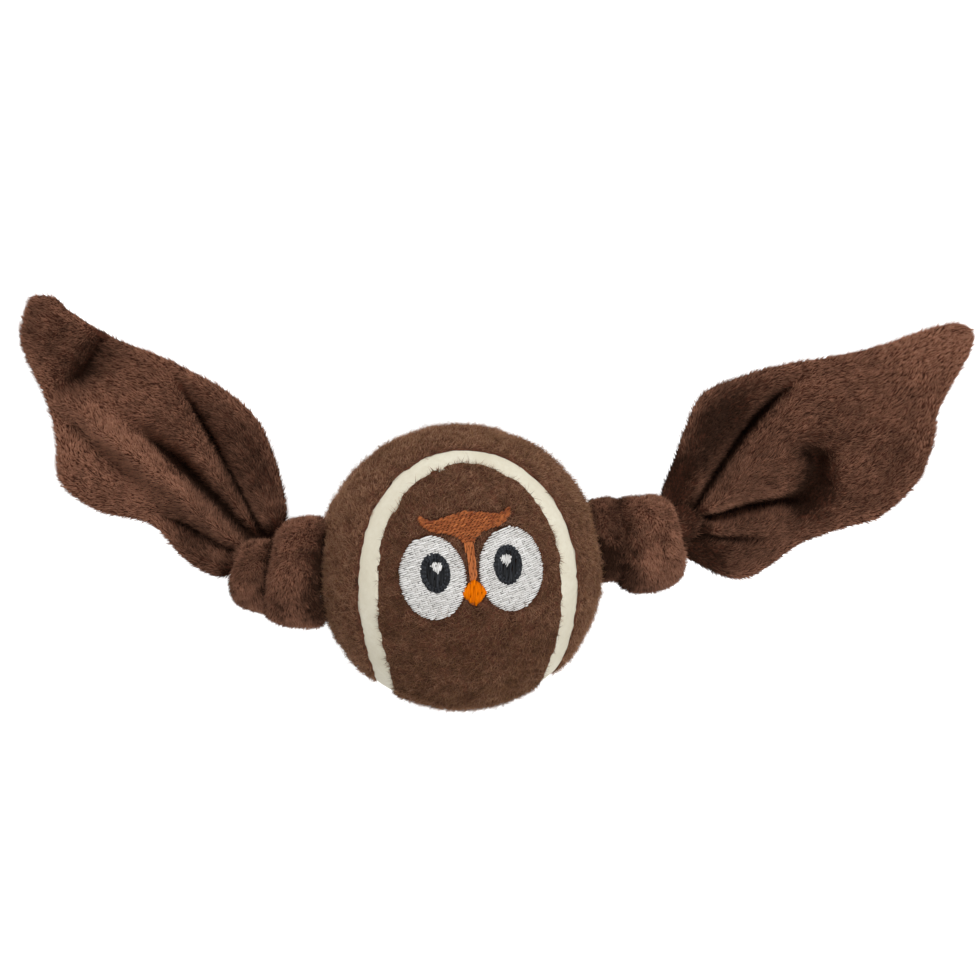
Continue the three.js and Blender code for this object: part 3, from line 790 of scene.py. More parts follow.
@dataclass
class Ball:
    """Felt-covered ball: two dumbbell felt panels, the cement seam between them, and their fuzz."""

    radius: float = BALL_RADIUS
    height: float = BALL_HEIGHT
    felt_thickness: float = 3.0
    felt_floor: float = 1.0
    hole_radius: float = 7.0
    hole_lip: tuple[float, float] = (-2.0, 0.5)
    hole_sink: float = 2.2
    stitch_press: float = 0.25
    seam_width: float = 4.6
    seam_tuck: float = 0.8
    seam_recess: float = 0.45
    seam_crown: float = 0.06
    seam_harmonic: float = 0.215
    seam_tilt: float = -3.5
    seam_grid: tuple[int, int] = (601, 9)
    seam_ripple: tuple[Octave, ...] = (Octave(0.05, 2.4, 21),)
    panel_grid: tuple[int, int] = (206, 100)
    panel_end: float = 0.04
    nap: float = 0.3
    brush_axis: tuple[float, float, float] = (0.3, 0.2, 1.0)
    edge_roll: tuple[float, float] = (-0.3, 1.0)
    edge_tuck: float = 0.3
    edge_fuzz: float = 0.03
    fuzz_rise: tuple[float, float] = (0.5, 1.4)
    stray_rise: tuple[float, float] = (1.2, 4.2)
    ragged: float = 0.5
    edge_noise: tuple[Octave, ...] = (Octave(0.5, 2.2, 5), Octave(0.6, 0.7, 8))
    lumps: tuple[Octave, ...] = (Octave(0.2, 5.0, 11), Octave(0.26, 1.7, 12))
    blotches: tuple[Octave, ...] = (Octave(0.16, 2.6, 13), Octave(0.13, 9.0, 14))
    # Painted light on the side panel and painted shade on the face panel, which are the same felt
    face_tone: float = -0.08
    side_tone: float = 0.12

    @property
    def centre(self) -> Array:
        """Middle of the ball."""
        return np.array([0.0, 0.0, self.height])

    def seam_point(self, angle: Array) -> Array:
        """Seam on the unit sphere: first and third harmonics in a plane, a second across it, all tilted."""
        b = self.seam_harmonic
        a = 1 - b
        u = a * np.cos(angle) + b * np.cos(3 * angle)
        v = a * np.sin(angle) - b * np.sin(3 * angle)
        w = 2 * math.sqrt(a * b) * np.sin(2 * angle)
        x, z = (u + v) / math.sqrt(2), (v - u) / math.sqrt(2)
        tilt = math.radians(self.seam_tilt)
        y, z = -w * math.cos(tilt) - z * math.sin(tilt), z * math.cos(tilt) - w * math.sin(tilt)
        return unit(np.stack((x, y, z), -1))

    def beside_seam(self, angle: Array, distance: Array) -> Array:
        """Seam point moved sideways over the sphere by a distance, towards the face panel if positive."""
        step = 1e-4
        point = self.seam_point(angle)
        side = unit(np.cross(point, self.seam_point(angle + step) - self.seam_point(angle - step)))
        turn = (distance / self.radius)[..., None]
        return unit(point * np.cos(turn) + side * np.sin(turn))

    def panel_skin(self, panel: Panel, face: "Face") -> tuple[Skin, Array]:
        """One felt panel: arcs over the sphere between the two seam points at equal distances from its end.

        The surface rolls down to the seam at its ragged edge, is lumpy like felt, sinks into the strip's hole
        and under the stitches, and is flat where the ball rests.

        Args:
            panel: Which of the two panels.
            face: Embroidery, which keeps the fuzz out of its stitches.

        Returns:
            The panel's outer skin, and how far each of its points is from the seam: 0 near it, 1 inland.
        """
        rows, columns = self.panel_grid
        end = math.pi / 2 + panel.value * math.pi / 4
        step = (1 - np.cos(np.linspace(self.panel_end, math.pi - self.panel_end, rows))) / 2 * math.pi
        share = ((1 - np.cos(np.linspace(0, math.pi, columns))) / 2)[None, :, None]
        edges = []
        for angle in (end + step, end - step):
            strays = self.ragged * wander(self.seam_point(angle) * self.radius, self.edge_noise, panel.value)
            edges.append(self.beside_seam(angle, panel.value * (self.seam_width / 2 + strays))[:, None])
        first, second = edges
        arc = np.arccos(np.clip(np.sum(first * second, -1, keepdims=True), -1, 1))
        direction = unit(first * np.sin((1 - share) * arc) + second * np.sin(share * arc))
        edge = (np.minimum(share, 1 - share) * arc * self.radius)[..., 0]
        spot = direction * self.radius
        covered = face.covered(direction)
        roll = (1 - ease(edge, *self.edge_roll)) ** 2 * (self.seam_recess + self.edge_tuck)
        lip = [self.hole_radius + past for past in self.hole_lip]
        dimple = self.hole_sink * (1 - ease(np.linalg.norm(spot[..., 1:], axis=-1), *lip))
        sunk = roll + dimple + self.stitch_press * covered
        radius = self.radius - self.nap + wander(spot, self.lumps) - sunk
        points = direction * radius[..., None] + self.centre
        points[..., 2] = np.maximum(points[..., 2], 0)
        lay = np.cross(direction, np.array(self.brush_axis))
        density = (1 - covered) * (self.edge_fuzz + (1 - self.edge_fuzz) * ease(edge, *self.fuzz_rise))
        # Painted shade on the face panel, painted light on the side panel, with random blotches
        plain = self.face_tone if panel is Panel.FACE else self.side_tone
        skin = Skin(points, lay, density, plain + wander(spot, self.blotches))
        return skin.turned_outwards(self.centre), ease(edge, *self.stray_rise)

    def seam_points(self, radius: float, crown: float) -> Array:
        """Cement band at a radius: the seam moved sideways over its width, with a low crown."""
        rows, columns = self.seam_grid
        places = np.linspace(0, math.tau, rows), np.linspace(-0.5, 0.5, columns)
        angle, across = np.meshgrid(*places, indexing="ij")
        direction = self.beside_seam(angle, across * (self.seam_width + 2 * self.seam_tuck))
        ripple = wander(direction * self.radius, self.seam_ripple)
        return direction * (radius + crown * (1 - 4 * across**2) + ripple)[..., None] + self.centre

    def build(self, face: "Face") -> None:
        """Makes the felt panels with their fuzz, and the seam band, all riding on the ball.

        Args:
            face: Embroidery that the fuzz leaves bare.
        """
        inner_radius = self.radius - self.felt_thickness
        for number, panel in enumerate(Panel):
            skin, inland = self.panel_skin(panel, face)
            inner = unit(skin.points - self.centre) * inner_radius + self.centre
            inner[..., 2] = np.maximum(inner[..., 2], self.felt_floor)
            felt = add_slab(f"{panel.label}_felt", skin.points, inner, FELT_CLOTH)
            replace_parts(felt, f"felt_{panel.label}_panel")
            nap, wisps = (replace(pile, seed=pile.seed + number) for pile in (FELT_NAP, FELT_WISPS))
            fuzz = nap.grow(f"{panel.label}_felt_fuzz", skin, FELT_FUZZ)
            away = replace(skin, density=skin.density * inland)
            strays = wisps.grow(f"{panel.label}_felt_strays", away, FELT_FUZZ)
            for piece in (felt, fuzz, strays):
                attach(piece, "ball")
        outer = self.seam_points(self.radius - self.seam_recess, self.seam_crown)
        inner = self.seam_points(inner_radius, 0.0)
        seam = add_slab("seam_cement_band", outer[:, ::-1], inner[:, ::-1], CEMENT)
        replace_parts(seam, "seam_band")
        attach(seam, "ball")


# Embroidered face


@dataclass(frozen=True)
class Stitching:
    """How one area is filled with thread.

    Attributes:
        angle: Direction of the stitches, in degrees from the layout's right.
        spacing: Distance between rows.
        length: Length of a stitch; a satin fill has stitches longer than its area.
        width: Width of a stitch.
        crown: Height of a stitch's crown over the felt.
        finish: Finish of the thread.
        seed: Seed of the random draws.
        tone: Shift of the thread's tint.
        stagger: Share of a stitch by which each row starts further on than the last.
        overshoot: Most that a row runs past its outline.
        start_jitter: Most that a row's stagger strays, as a share of a stitch.
        break_jitter: Most that the breaks of a row stray along it.
        row_jitter: Most that a break strays across its row.
        shortest: Least distance of a break from the ends of its row.
    """

    angle: float
    spacing: float
    length: float
    width: float
    crown: float
    finish: Fibre
    seed: int
    tone: float = 0.0
    stagger: float = 0.37
    overshoot: ClassVar[float] = 0.25
    start_jitter: ClassVar[float] = 0.15
    break_jitter: ClassVar[float] = 0.2
    row_jitter: ClassVar[float] = 0.05
    shortest: ClassVar[float] = 0.5

    def fill(self, outlines: list[Array]) -> Array:
        """Stitches that fill the area between outlines: rows cut there, then into staggered lengths.

        Args:
            outlines: Closed outlines; a place is in the area if an odd number of them hold it.

        Returns:
            Ends of each stitch in the layout, stitches by 2 by 2.
        """
        draw = np.random.default_rng(self.seed)
        turn = math.radians(self.angle)
        along = np.array([math.cos(turn), math.sin(turn)])
        across = np.array([-along[1], along[0]])
        edges = [outline @ np.stack((along, across), -1) for outline in outlines]
        starts = np.concatenate(edges)
        stops = np.concatenate([np.roll(edge, -1, 0) for edge in edges])
        levels = np.arange(starts[:, 1].min() + self.spacing / 2, starts[:, 1].max(), self.spacing)
        stitches = []
        for number, level in enumerate(levels):
            crossing = (starts[:, 1] > level) != (stops[:, 1] > level)
            a, b = starts[crossing], stops[crossing]
            cuts = np.sort(a[:, 0] + (level - a[:, 1]) * (b[:, 0] - a[:, 0]) / (b[:, 1] - a[:, 1]))
            for low, high in cuts.reshape(-1, 2):
                low = low - draw.uniform(0, self.overshoot)
                high = high + draw.uniform(0, self.overshoot)
                stagger = number * self.stagger + draw.uniform(0, self.start_jitter)
                first = low + self.length * (stagger % 1)
                shift = draw.uniform(-self.break_jitter, self.break_jitter)
                breaks = np.arange(first, high, self.length) + shift
                kept = breaks[(breaks > low + self.shortest) & (breaks < high - self.shortest)]
                marks = np.concatenate(([low], kept, [high]))
                tilt = draw.uniform(-self.row_jitter, self.row_jitter, len(marks))
                ends = marks[:, None] * along + (level + tilt)[:, None] * across
                stitches.append(np.stack((ends[:-1], ends[1:]), 1))
        return np.concatenate(stitches)


SATIN_LENGTH = 9.0
EYE_FILL = Stitching(
    angle=14, spacing=0.45, length=2.6, width=0.44, crown=0.55, finish=WHITE_THREAD, seed=40, tone=0.06,
)
EYE_UNDERLAY = Stitching(
    angle=104, spacing=0.6, length=SATIN_LENGTH, width=0.66, crown=0.4, finish=WHITE_THREAD, seed=44,
    tone=-0.3,
)
# The fill is tinted darker than the rim, whose paler tint is painted sheen on its raised loops
PUPIL_FILL = Stitching(
    angle=80, spacing=0.34, length=SATIN_LENGTH, width=0.44, crown=0.6, finish=BLACK_THREAD, seed=50,
    tone=-0.36,
)
PUPIL_RIM = replace(PUPIL_FILL, crown=0.68, tone=0.0)
SHINE_FILL = Stitching(
    angle=70, spacing=0.36, length=SATIN_LENGTH, width=0.42, crown=0.95, finish=WHITE_THREAD, seed=60,
)
BROW_FILL = Stitching(
    angle=24, spacing=0.3, length=1.5, width=0.36, crown=0.6, finish=RUST_THREAD, seed=70, tone=-0.05,
    stagger=0.618,
)
# Tinted paler than the brow: painted sheen on the stem's long satin stitches
STEM_FILL = Stitching(
    angle=90, spacing=0.34, length=3.0, width=0.42, crown=0.6, finish=RUST_THREAD, seed=71, tone=0.4,
    stagger=0.618,
)
BEAK_FILL = Stitching(
    angle=80, spacing=0.3, length=SATIN_LENGTH, width=0.42, crown=0.8, finish=ORANGE_THREAD, seed=72,
)


@dataclass
class Face:
    """Embroidered owl face, laid out flat round the point midway between the eyes and put onto the ball."""

    radius: float = BALL_RADIUS
    height: float = BALL_HEIGHT
    shift: float = 0.1
    rise: float = 3.3
    turn: float = 3.7
    eye_spacing: float = 17.4
    eye_half: tuple[float, float] = (7.1, 9.2)
    pupil_half: tuple[float, float] = (3.05, 4.2)
    pupil_inset: float = 0.7
    pupil_rise: float = 1.17
    underlay_inset: float = 0.5
    rim_insets: tuple[float, ...] = (0.0, 0.42, 0.84)
    rim_step: int = 3
    highlight_radius: float = 1.2
    highlight_inset: float = 0.4
    highlight_rise: float = 1.15
    beak_half: tuple[float, float] = (2.6, 2.8)
    beak_drop: float = 3.9
    beak_squareness: float = 1.3
    stem_top: float = 7.2
    stem_half: float = 1.3
    shine_outline: tuple[tuple[float, float], ...] = (
        (-1.0, 0.4), (-0.5, 1.0), (0.1, 0.82), (0.65, 0.95),
        (1.05, 0.25), (0.7, -0.5), (0.1, -1.1), (-0.6, -0.45),
    )
    brow_half: tuple[tuple[float, float], ...] = (
        (0, 13.6), (4.3, 12.8), (7.0, 12.2), (8.8, 12.5), (9.9, 13.3), (10.0, 11.6),
        (7.6, 9.9), (4.2, 9.2), (1.9, 8.0), (1.05, 6.6), (0.85, 3.0), (0.75, -0.7),
    )
    ellipse_points: int = 72
    beak_points: int = 60
    brow_points: int = 160
    thread_seed: int = 100
    thread_rings: int = 7
    thread_sides: int = 6
    thread_overlap: float = 0.05
    thread_flatness: float = 0.42
    thread_sink: float = 0.1
    width_spread: tuple[float, float] = (0.82, 1.12)
    crown_spread: tuple[float, float] = (0.85, 1.12)
    end_width: float = 0.35
    end_crown: float = 0.25
    tint_spread: float = 0.2
    tint_limits: tuple[float, float] = (0.04, 0.96)

    def on_ball(self, layout: Array, height: Array) -> Array:
        """Points of the flat layout pressed straight onto the ball, then raised from its surface."""
        turn = math.radians(self.turn)
        x = self.shift + layout[..., 0] * math.cos(turn) - layout[..., 1] * math.sin(turn)
        y = self.rise + layout[..., 0] * math.sin(turn) + layout[..., 1] * math.cos(turn)
        z = np.sqrt(self.radius**2 - x**2 - y**2)
        points = np.stack((x, y, z), -1) * (1 + height / self.radius)[..., None]
        return points + np.array([0, 0, self.height])

    def layout_of(self, direction: Array) -> Array:
        """Layout place of a direction from the ball's middle."""
        turn = math.radians(self.turn)
        x = direction[..., 0] * self.radius - self.shift
        y = direction[..., 1] * self.radius - self.rise
        right = x * math.cos(turn) + y * math.sin(turn)
        up = y * math.cos(turn) - x * math.sin(turn)
        return np.stack((right, up), -1)

    @staticmethod
    def circuit(count: int) -> Array:
        """Even angles once round, without the last."""
        return np.linspace(0, math.tau, count, endpoint=False)

    def ellipse(self, middle: tuple[float, float], half: tuple[float, float], inset: float = 0.0) -> Array:
        """Closed outline of an ellipse, inset from its half sizes."""
        angle = self.circuit(self.ellipse_points)
        x = middle[0] + (half[0] - inset) * np.cos(angle)
        y = middle[1] + (half[1] - inset) * np.sin(angle)
        return np.stack((x, y), -1)

    def beak_outline(self) -> Array:
        """Rounded diamond: an ellipse whose cosine and sine are raised to a power above 1."""
        angle = self.circuit(self.beak_points)
        power = 2 / self.beak_squareness
        x = self.beak_half[0] * signed_power(np.cos(angle), power)
        y = self.beak_half[1] * signed_power(np.sin(angle), power) - self.beak_drop
        return np.stack((x, y), -1)

    def brow_outline(self) -> Array:
        """Brow and stem: a smooth curve through the half outline and its mirror."""
        right = np.array(self.brow_half)
        outline = np.concatenate((right, right[:0:-1] * [-1, 1], right[:1]))
        return spline(outline, np.linspace(0, 1, self.brow_points, endpoint=False))

    def eye_middle(self, side: Side) -> tuple[float, float]:
        """Middle of an eye's white."""
        return side.value * self.eye_spacing / 2, 0.0

    def pupil_middle(self, side: Side) -> tuple[float, float]:
        """Middle of a pupil."""
        return side.value * (self.eye_spacing / 2 - self.pupil_inset), self.pupil_rise

    @staticmethod
    def inside(outline: Array, places: Array) -> Array:
        """Which places lie inside an outline: an odd number of its edges cross the line to their right."""
        found = np.zeros(places.shape[:-1], dtype=bool)
        for (x0, y0), (x1, y1) in zip(outline, np.roll(outline, -1, 0)):
            if y0 != y1:
                spans = (y0 > places[..., 1]) != (y1 > places[..., 1])
                found ^= spans & (places[..., 0] < x0 + (places[..., 1] - y0) * (x1 - x0) / (y1 - y0))
        return found

    def covered(self, direction: Array) -> Array:
        """1 where a direction from the ball's middle meets the embroidery, and 0 elsewhere."""
        places = self.layout_of(direction)
        found = self.inside(self.beak_outline(), places) | self.inside(self.brow_outline(), places)
        for side in Side:
            found |= self.inside(self.ellipse(self.eye_middle(side), self.eye_half), places)
        return (found & (direction[..., 2] > 0)).astype(float)

    def rim_loop(self, middle: tuple[float, float], inset: float) -> Array:
        """Stitches that run round a pupil, inset from its edge, each over a few points of its outline."""
        marks = self.ellipse(middle, self.pupil_half, inset)[:: self.rim_step]
        return np.stack((marks, np.roll(marks, -1, 0)), 1)

    def sew(self, name: str, stitches: Array, style: Stitching) -> bpy.types.Object:
        """Makes thread out of stitch ends: tapered round tubes that rise from the felt and dip back into it.

        Width and crown swell along a stitch as the root of a half sine wave.

        Args:
            name: Name of the piece.
            stitches: Ends of each stitch in the layout, stitches by 2 by 2.
            style: Width, crown and finish of the thread.

        Returns:
            The new object.
        """
        draw = np.random.default_rng(style.seed + self.thread_seed)
        count, rings, sides = len(stitches), self.thread_rings, self.thread_sides
        share = np.linspace(0, 1, rings)
        margin = 0.02
        swell = np.sin(math.pi * np.clip(share, margin, 1 - margin)) ** 0.5
        span = stitches[:, 1] - stitches[:, 0]
        length = np.linalg.norm(span, axis=-1, keepdims=True)
        along = span / np.maximum(length, 1e-6)
        across = np.stack((-along[:, 1], along[:, 0]), -1)
        overlap = along * self.thread_overlap
        middle = (stitches[:, 0] - overlap)[:, None] + (span + 2 * overlap)[:, None] * share[None, :, None]
        wide = draw.uniform(*self.width_spread, (count, 1)) * (self.end_width + (1 - self.end_width) * swell)
        high = draw.uniform(*self.crown_spread, (count, 1)) * (self.end_crown + (1 - self.end_crown) * swell)
        angle = self.circuit(sides)
        aside = style.width / 2 * wide[..., None] * np.cos(angle)
        sideways = middle[:, :, None] + across[:, None, None] * aside[..., None]
        thickness = style.width * self.thread_flatness
        raised = style.crown * high[..., None] - thickness * (1 - np.sin(angle)) / 2 - self.thread_sink
        tubes = self.on_ball(sideways, raised)
        points = np.concatenate((tubes.reshape(count, -1, 3), tubes[:, [0, -1]].mean(2)), axis=1)
        tube = tube_faces(rings, sides)[:, ::-1]
        faces = (np.arange(count)[:, None, None] * points.shape[1] + tube).reshape(-1, 3)
        spread = self.tint_spread * draw.standard_normal(count)
        tint = np.clip(0.5 + style.tone + spread, *self.tint_limits)[:, None, None]
        shape = (count, rings, sides)
        u = np.broadcast_to(tint + np.linspace(-margin, margin, rings)[:, None], shape).reshape(count, -1)
        # Up the texture is the height round the thread: painted shade on its sides, painted light on its
        # crown
        v = np.broadcast_to(0.5 + (0.5 - margin) * np.sin(angle), shape).reshape(count, -1)
        caps = np.broadcast_to(tint[..., 0], (count, 2))
        u = np.concatenate((u, caps), 1)
        v = np.concatenate((v, np.full((count, 2), 0.5)), 1)
        uv = np.stack((u, v), -1).reshape(-1, 2)
        piece = add_piece(name, points.reshape(-1, 3), faces, uv, style.finish)
        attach(piece, "ball")
        return piece

    def build_eye(self, number: int, side: Side) -> None:
        """Sews one eye: white over its underlay, pupil with its rim, and glint.

        Args:
            number: Number that keeps its random draws apart from the other eye's.
            side: Which eye.
        """
        middle = self.pupil_middle(side)
        white = self.ellipse(self.eye_middle(side), self.eye_half)
        inset = self.ellipse(self.eye_middle(side), self.eye_half, self.underlay_inset)
        pupil = self.ellipse(middle, self.pupil_half)
        rim = np.concatenate([self.rim_loop(middle, k) for k in self.rim_insets])
        shine = (middle[0] - side.value * self.highlight_inset, middle[1] + self.highlight_rise)
        glint = np.array(self.shine_outline) * self.highlight_radius + shine
        layers = (
            ("white", EYE_FILL, [white, pupil], "eye_white"),
            ("underlay", EYE_UNDERLAY, [inset, pupil], "eye_white"),
            ("pupil", PUPIL_FILL, [pupil], "pupil"),
            ("rim", PUPIL_RIM, [], "pupil"),
            ("shine", SHINE_FILL, [glint], "eye_highlight"),
        )
        for part, fill, outlines, node in layers:
            style = replace(fill, seed=fill.seed + number)
            stitches = style.fill(outlines) if outlines else rim
            piece = self.sew(f"{side.label}_eye_{part}", stitches, style)
            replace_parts(piece, f"{node}_{side.label}")

    def build(self) -> None:
        """Sews the two eyes, the brow with its stem, and the beak."""
        for number, side in enumerate(Side):
            self.build_eye(number, side)
        brow = self.brow_outline()
        crest = np.where(brow[:, 1:] < self.stem_top, brow * [1, 0] + [0, self.stem_top], brow)
        narrow = np.clip(brow * [1, 0], -self.stem_half, self.stem_half) + [0, self.stem_top]
        stem = np.where(brow[:, 1:] > self.stem_top, narrow, brow)
        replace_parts(self.sew("rust_brow", BROW_FILL.fill([crest]), BROW_FILL), "brow")
        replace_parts(self.sew("rust_stem", STEM_FILL.fill([stem]), STEM_FILL), "brow")
        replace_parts(self.sew("orange_beak", BEAK_FILL.fill([self.beak_outline()]), BEAK_FILL), "beak")


# Knots


KNOT_PILE = Pile(
    count=22000, length=1.35, width=0.28, lift=38, lift_spread=14, swirl=45, swirl_cell=2.4, scatter=20,
    sink=0.2, seed=90, clump=0.22,
)


@dataclass(frozen=True)
class Turn:
    """One turn of the strip round a knot: a flattened band carried round the strip's axis.

    Attributes:
        reach: Distance of the band's middle from the ball's surface, along the strip.
        width: Width of the band along the strip.
        outer_radius: Radius of the band's outer face.
        depth: Thickness of the band.
        rise: Height of the turn's middle towards the crown.
        lift: Height of the turn's middle towards the face.
        lean: Tilt of the turn towards the ball at its crown side, in degrees.
        start: Angle where the turn starts, in degrees from the crown towards the face.
        stop: Angle where it stops.
        curl_high: How far the crown side bends towards the ball.
        curl_low: How far the side away from the crown bends towards the ball.
        flare_low: Share by which the band widens on the side away from the crown.
        hollow: Depth of the hollow pressed into its lower front.
        tone: Shift of its pile's tint: painted shade where negative, painted light where positive.
        shade: Painted shade: how much darker the pile is on the side that faces the ball.
        full_turn: Least angle of a turn that counts as going all round, in degrees.
        full_taper: How much such a turn narrows at its ends, and how late.
        open_taper: The same for a shorter turn.
    """

    reach: float
    width: float
    outer_radius: float
    depth: float
    rise: float
    lift: float
    lean: float
    start: float
    stop: float
    curl_high: float
    curl_low: float
    flare_low: float = 0.0
    hollow: float = 0.0
    tone: float = 0.0
    shade: float = 0.3
    full_turn: ClassVar[float] = 350
    full_taper: ClassVar[tuple[float, float]] = (0.6, 30)
    open_taper: ClassVar[tuple[float, float]] = (0.97, 10)

    @property
    def end_taper(self) -> tuple[float, float]:
        """How much the band narrows at its ends, and how late: less and later if it goes all round."""
        return self.full_taper if self.stop - self.start > self.full_turn else self.open_taper


@dataclass
class Knot:
    """Overhand knot of plush strip against one side of the ball: two turns round a standing strand."""

    side: Side
    ball: Ball
    wrap: Turn
    bight: Turn
    strand: tuple[tuple[float, float, float], ...]
    strand_radius: float = 4.6
    pile_height: float = 0.9
    squareness: float = 2.3
    clearance: float = 0.7
    # Painted shade on the strand that runs inside the knot
    strand_tone: float = -0.4
    bare_share: tuple[float, float] = (0.15, 0.3)
    strand_grid: tuple[int, int] = (40, 48)
    strand_pleats: int = 6
    pleat_depth: float = 0.5
    turn_grid: tuple[int, int] = (150, 64)
    dent_angle: float = 125.0
    dent_spread: float = 35.0
    dent_shade: float = 0.2
    dent_rise: tuple[float, float] = (0.0, 0.6)
    pile_rise: tuple[float, float] = (-0.75, -0.2)
    shade_rise: tuple[float, float] = (0.1, 0.85)
    rumples: tuple[Octave, ...] = (Octave(0.55, 7.0, 0), Octave(0.25, 3.0, 1))
    blotches: tuple[Octave, ...] = (Octave(0.15, 6.0, 2),)
    least_density: float = 0.02
    wrap_seed: int = 80
    bight_seed: int = 84
    bight_fibres: int = 14000
    core_fibres: int = 3000

    def turn_skin(self, turn: Turn, seed: int) -> Skin:
        """Skin of one turn: a superellipse section carried round the strip's axis, rumpled, off the ball.

        Args:
            turn: Sizes of the turn.
            seed: Seed of its rumples.

        Returns:
            The turn's skin, closed round its section.
        """
        rows, columns = self.turn_grid
        steps = (1 - np.cos(np.linspace(0, math.pi, rows))) / 2
        sides = np.linspace(0, math.tau, columns, endpoint=False)
        share, around = np.meshgrid(steps, sides, indexing="ij")
        angle = np.radians(turn.start + (turn.stop - turn.start) * share)
        narrowing, lateness = turn.end_taper
        taper = np.sqrt(1 - narrowing * np.abs(2 * share - 1) ** lateness)
        power = 2 / self.squareness
        flare = 1 + turn.flare_low * np.minimum(np.cos(angle), 0) ** 2
        half_width = (turn.width / 2 - self.pile_height) * taper * flare
        half_depth = (turn.depth / 2 - self.pile_height) * taper
        width = half_width * signed_power(np.cos(around), power)
        depth = half_depth * signed_power(np.sin(around), power)

        def place(across: Array, out: Array) -> Array:
            """Point of the turn at a distance across its band and out from the band's middle."""
            radius = turn.outer_radius - turn.depth / 2 + out
            y = radius * np.cos(angle)
            curl = np.where(y > 0, turn.curl_high, turn.curl_low) * (y / turn.outer_radius) ** 2
            reach = self.ball.radius + turn.reach - math.tan(math.radians(turn.lean)) * y - curl + across
            z = self.ball.height + turn.lift + radius * np.sin(angle)
            return np.stack((self.side.value * reach, turn.rise + y, z), -1)

        middle = place(0 * width, 0 * depth)
        points = place(width, depth)
        outwards = unit(points - middle)
        late = (np.degrees(angle) - self.dent_angle) / self.dent_spread
        dent = turn.hollow * np.exp(-(late**2)) * ease(np.sin(around), *self.dent_rise)
        points = points + outwards * (wander(points, self.rumples, seed) - dent)[..., None]
        from_ball = points - self.ball.centre
        distance = np.linalg.norm(from_ball, axis=-1, keepdims=True)
        points = self.ball.centre + from_ball * np.maximum(1, (self.ball.radius + self.clearance) / distance)
        lay = np.gradient(middle, axis=0) + 0 * points
        density = ease(np.sin(around), *self.pile_rise) + self.least_density
        # Painted shade on the side that faces the ball and in the pressed hollow
        shade = turn.shade * ease(-np.cos(around), *self.shade_rise)
        tone = turn.tone - shade + wander(points, self.blotches, seed) - self.dent_shade * dent
        return Skin(points, lay, density, tone, True).turned_outwards(middle)

    def strand_skin(self) -> Skin:
        """Skin of the standing strand: a pleated round section carried along its route."""
        start = math.sqrt(self.ball.radius**2 - self.ball.hole_radius**2)
        x, y, z = np.array(self.strand).T
        route = np.stack((self.side.value * (start + x), y, self.ball.height + z), -1)
        rows, columns = self.strand_grid
        step = np.linspace(0, 1, rows)
        line = spline(route, step)[:, None]
        ahead = unit(np.gradient(line, axis=0))
        across = unit(np.cross(ahead, np.array([0.0, 0.0, 1.0])))
        above = np.cross(across, ahead)
        around = np.linspace(0, math.tau, columns, endpoint=False)[None, :, None]
        pleats = self.pleat_depth * np.cos(self.strand_pleats * around)
        radius = self.strand_radius - self.pile_height / 2 + pleats
        points = line + radius * (np.cos(around) * across + np.sin(around) * above)
        lay = ahead + 0 * points
        plain = np.ones(points.shape[:2])
        density = plain * ease(step, *self.bare_share)[:, None]
        return Skin(points, lay, density, self.strand_tone * plain, True).turned_outwards(line)

    def build(self) -> None:
        """Makes the knot's turns and strand with their pile, all riding on the knot."""
        label = self.side.label
        body = f"{label}_knot"
        skins = {
            "wrap": (self.turn_skin(self.wrap, self.wrap_seed), KNOT_PILE.count),
            "bight": (self.turn_skin(self.bight, self.bight_seed), self.bight_fibres),
            "core": (self.strand_skin(), self.core_fibres),
        }
        for number, (part, (skin, count)) in enumerate(skins.items()):
            cloth = add_tube(f"{label}_knot_{part}_cloth", skin.points, PLUSH_CLOTH)
            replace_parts(cloth, f"{label}_knot_{part}")
            pile = replace(KNOT_PILE, count=count, seed=KNOT_PILE.seed + number)
            fibres = pile.grow(f"{label}_knot_{part}_pile", skin, PLUSH_PILE)
            for piece in (cloth, fibres):
                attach(piece, body)


# Wings


WING_PILE = Pile(
    count=48000, length=1.45, width=0.24, lift=33, lift_spread=10, swirl=28, swirl_cell=2.2, scatter=12,
    sink=0.2, seed=110, clump=0.17,
)


@dataclass(frozen=True)
class Fold:
    """A crease, or a ridge if its height is positive, along a line from one place of a wing to another.

    Attributes:
        start: Place (s, t) where it rises.
        stop: Place where it has faded.
        height: Height, negative for a crease.
        width: Half width to the right of its line.
        left_width: Half width to its left, where that differs.
    """

    start: tuple[float, float]
    stop: tuple[float, float]
    height: float
    width: float
    left_width: float = 0.0


@dataclass(frozen=True)
class Brushed:
    """An oval patch of pile tinted darker as painted shade, or paler as painted light if its tone is
    positive.

    Attributes:
        middle: Place (s, t) of its middle.
        half: Its half sizes along s and t.
        tone: Shift of the pile's tint in its middle.
    """

    middle: tuple[float, float]
    half: tuple[float, float]
    tone: float


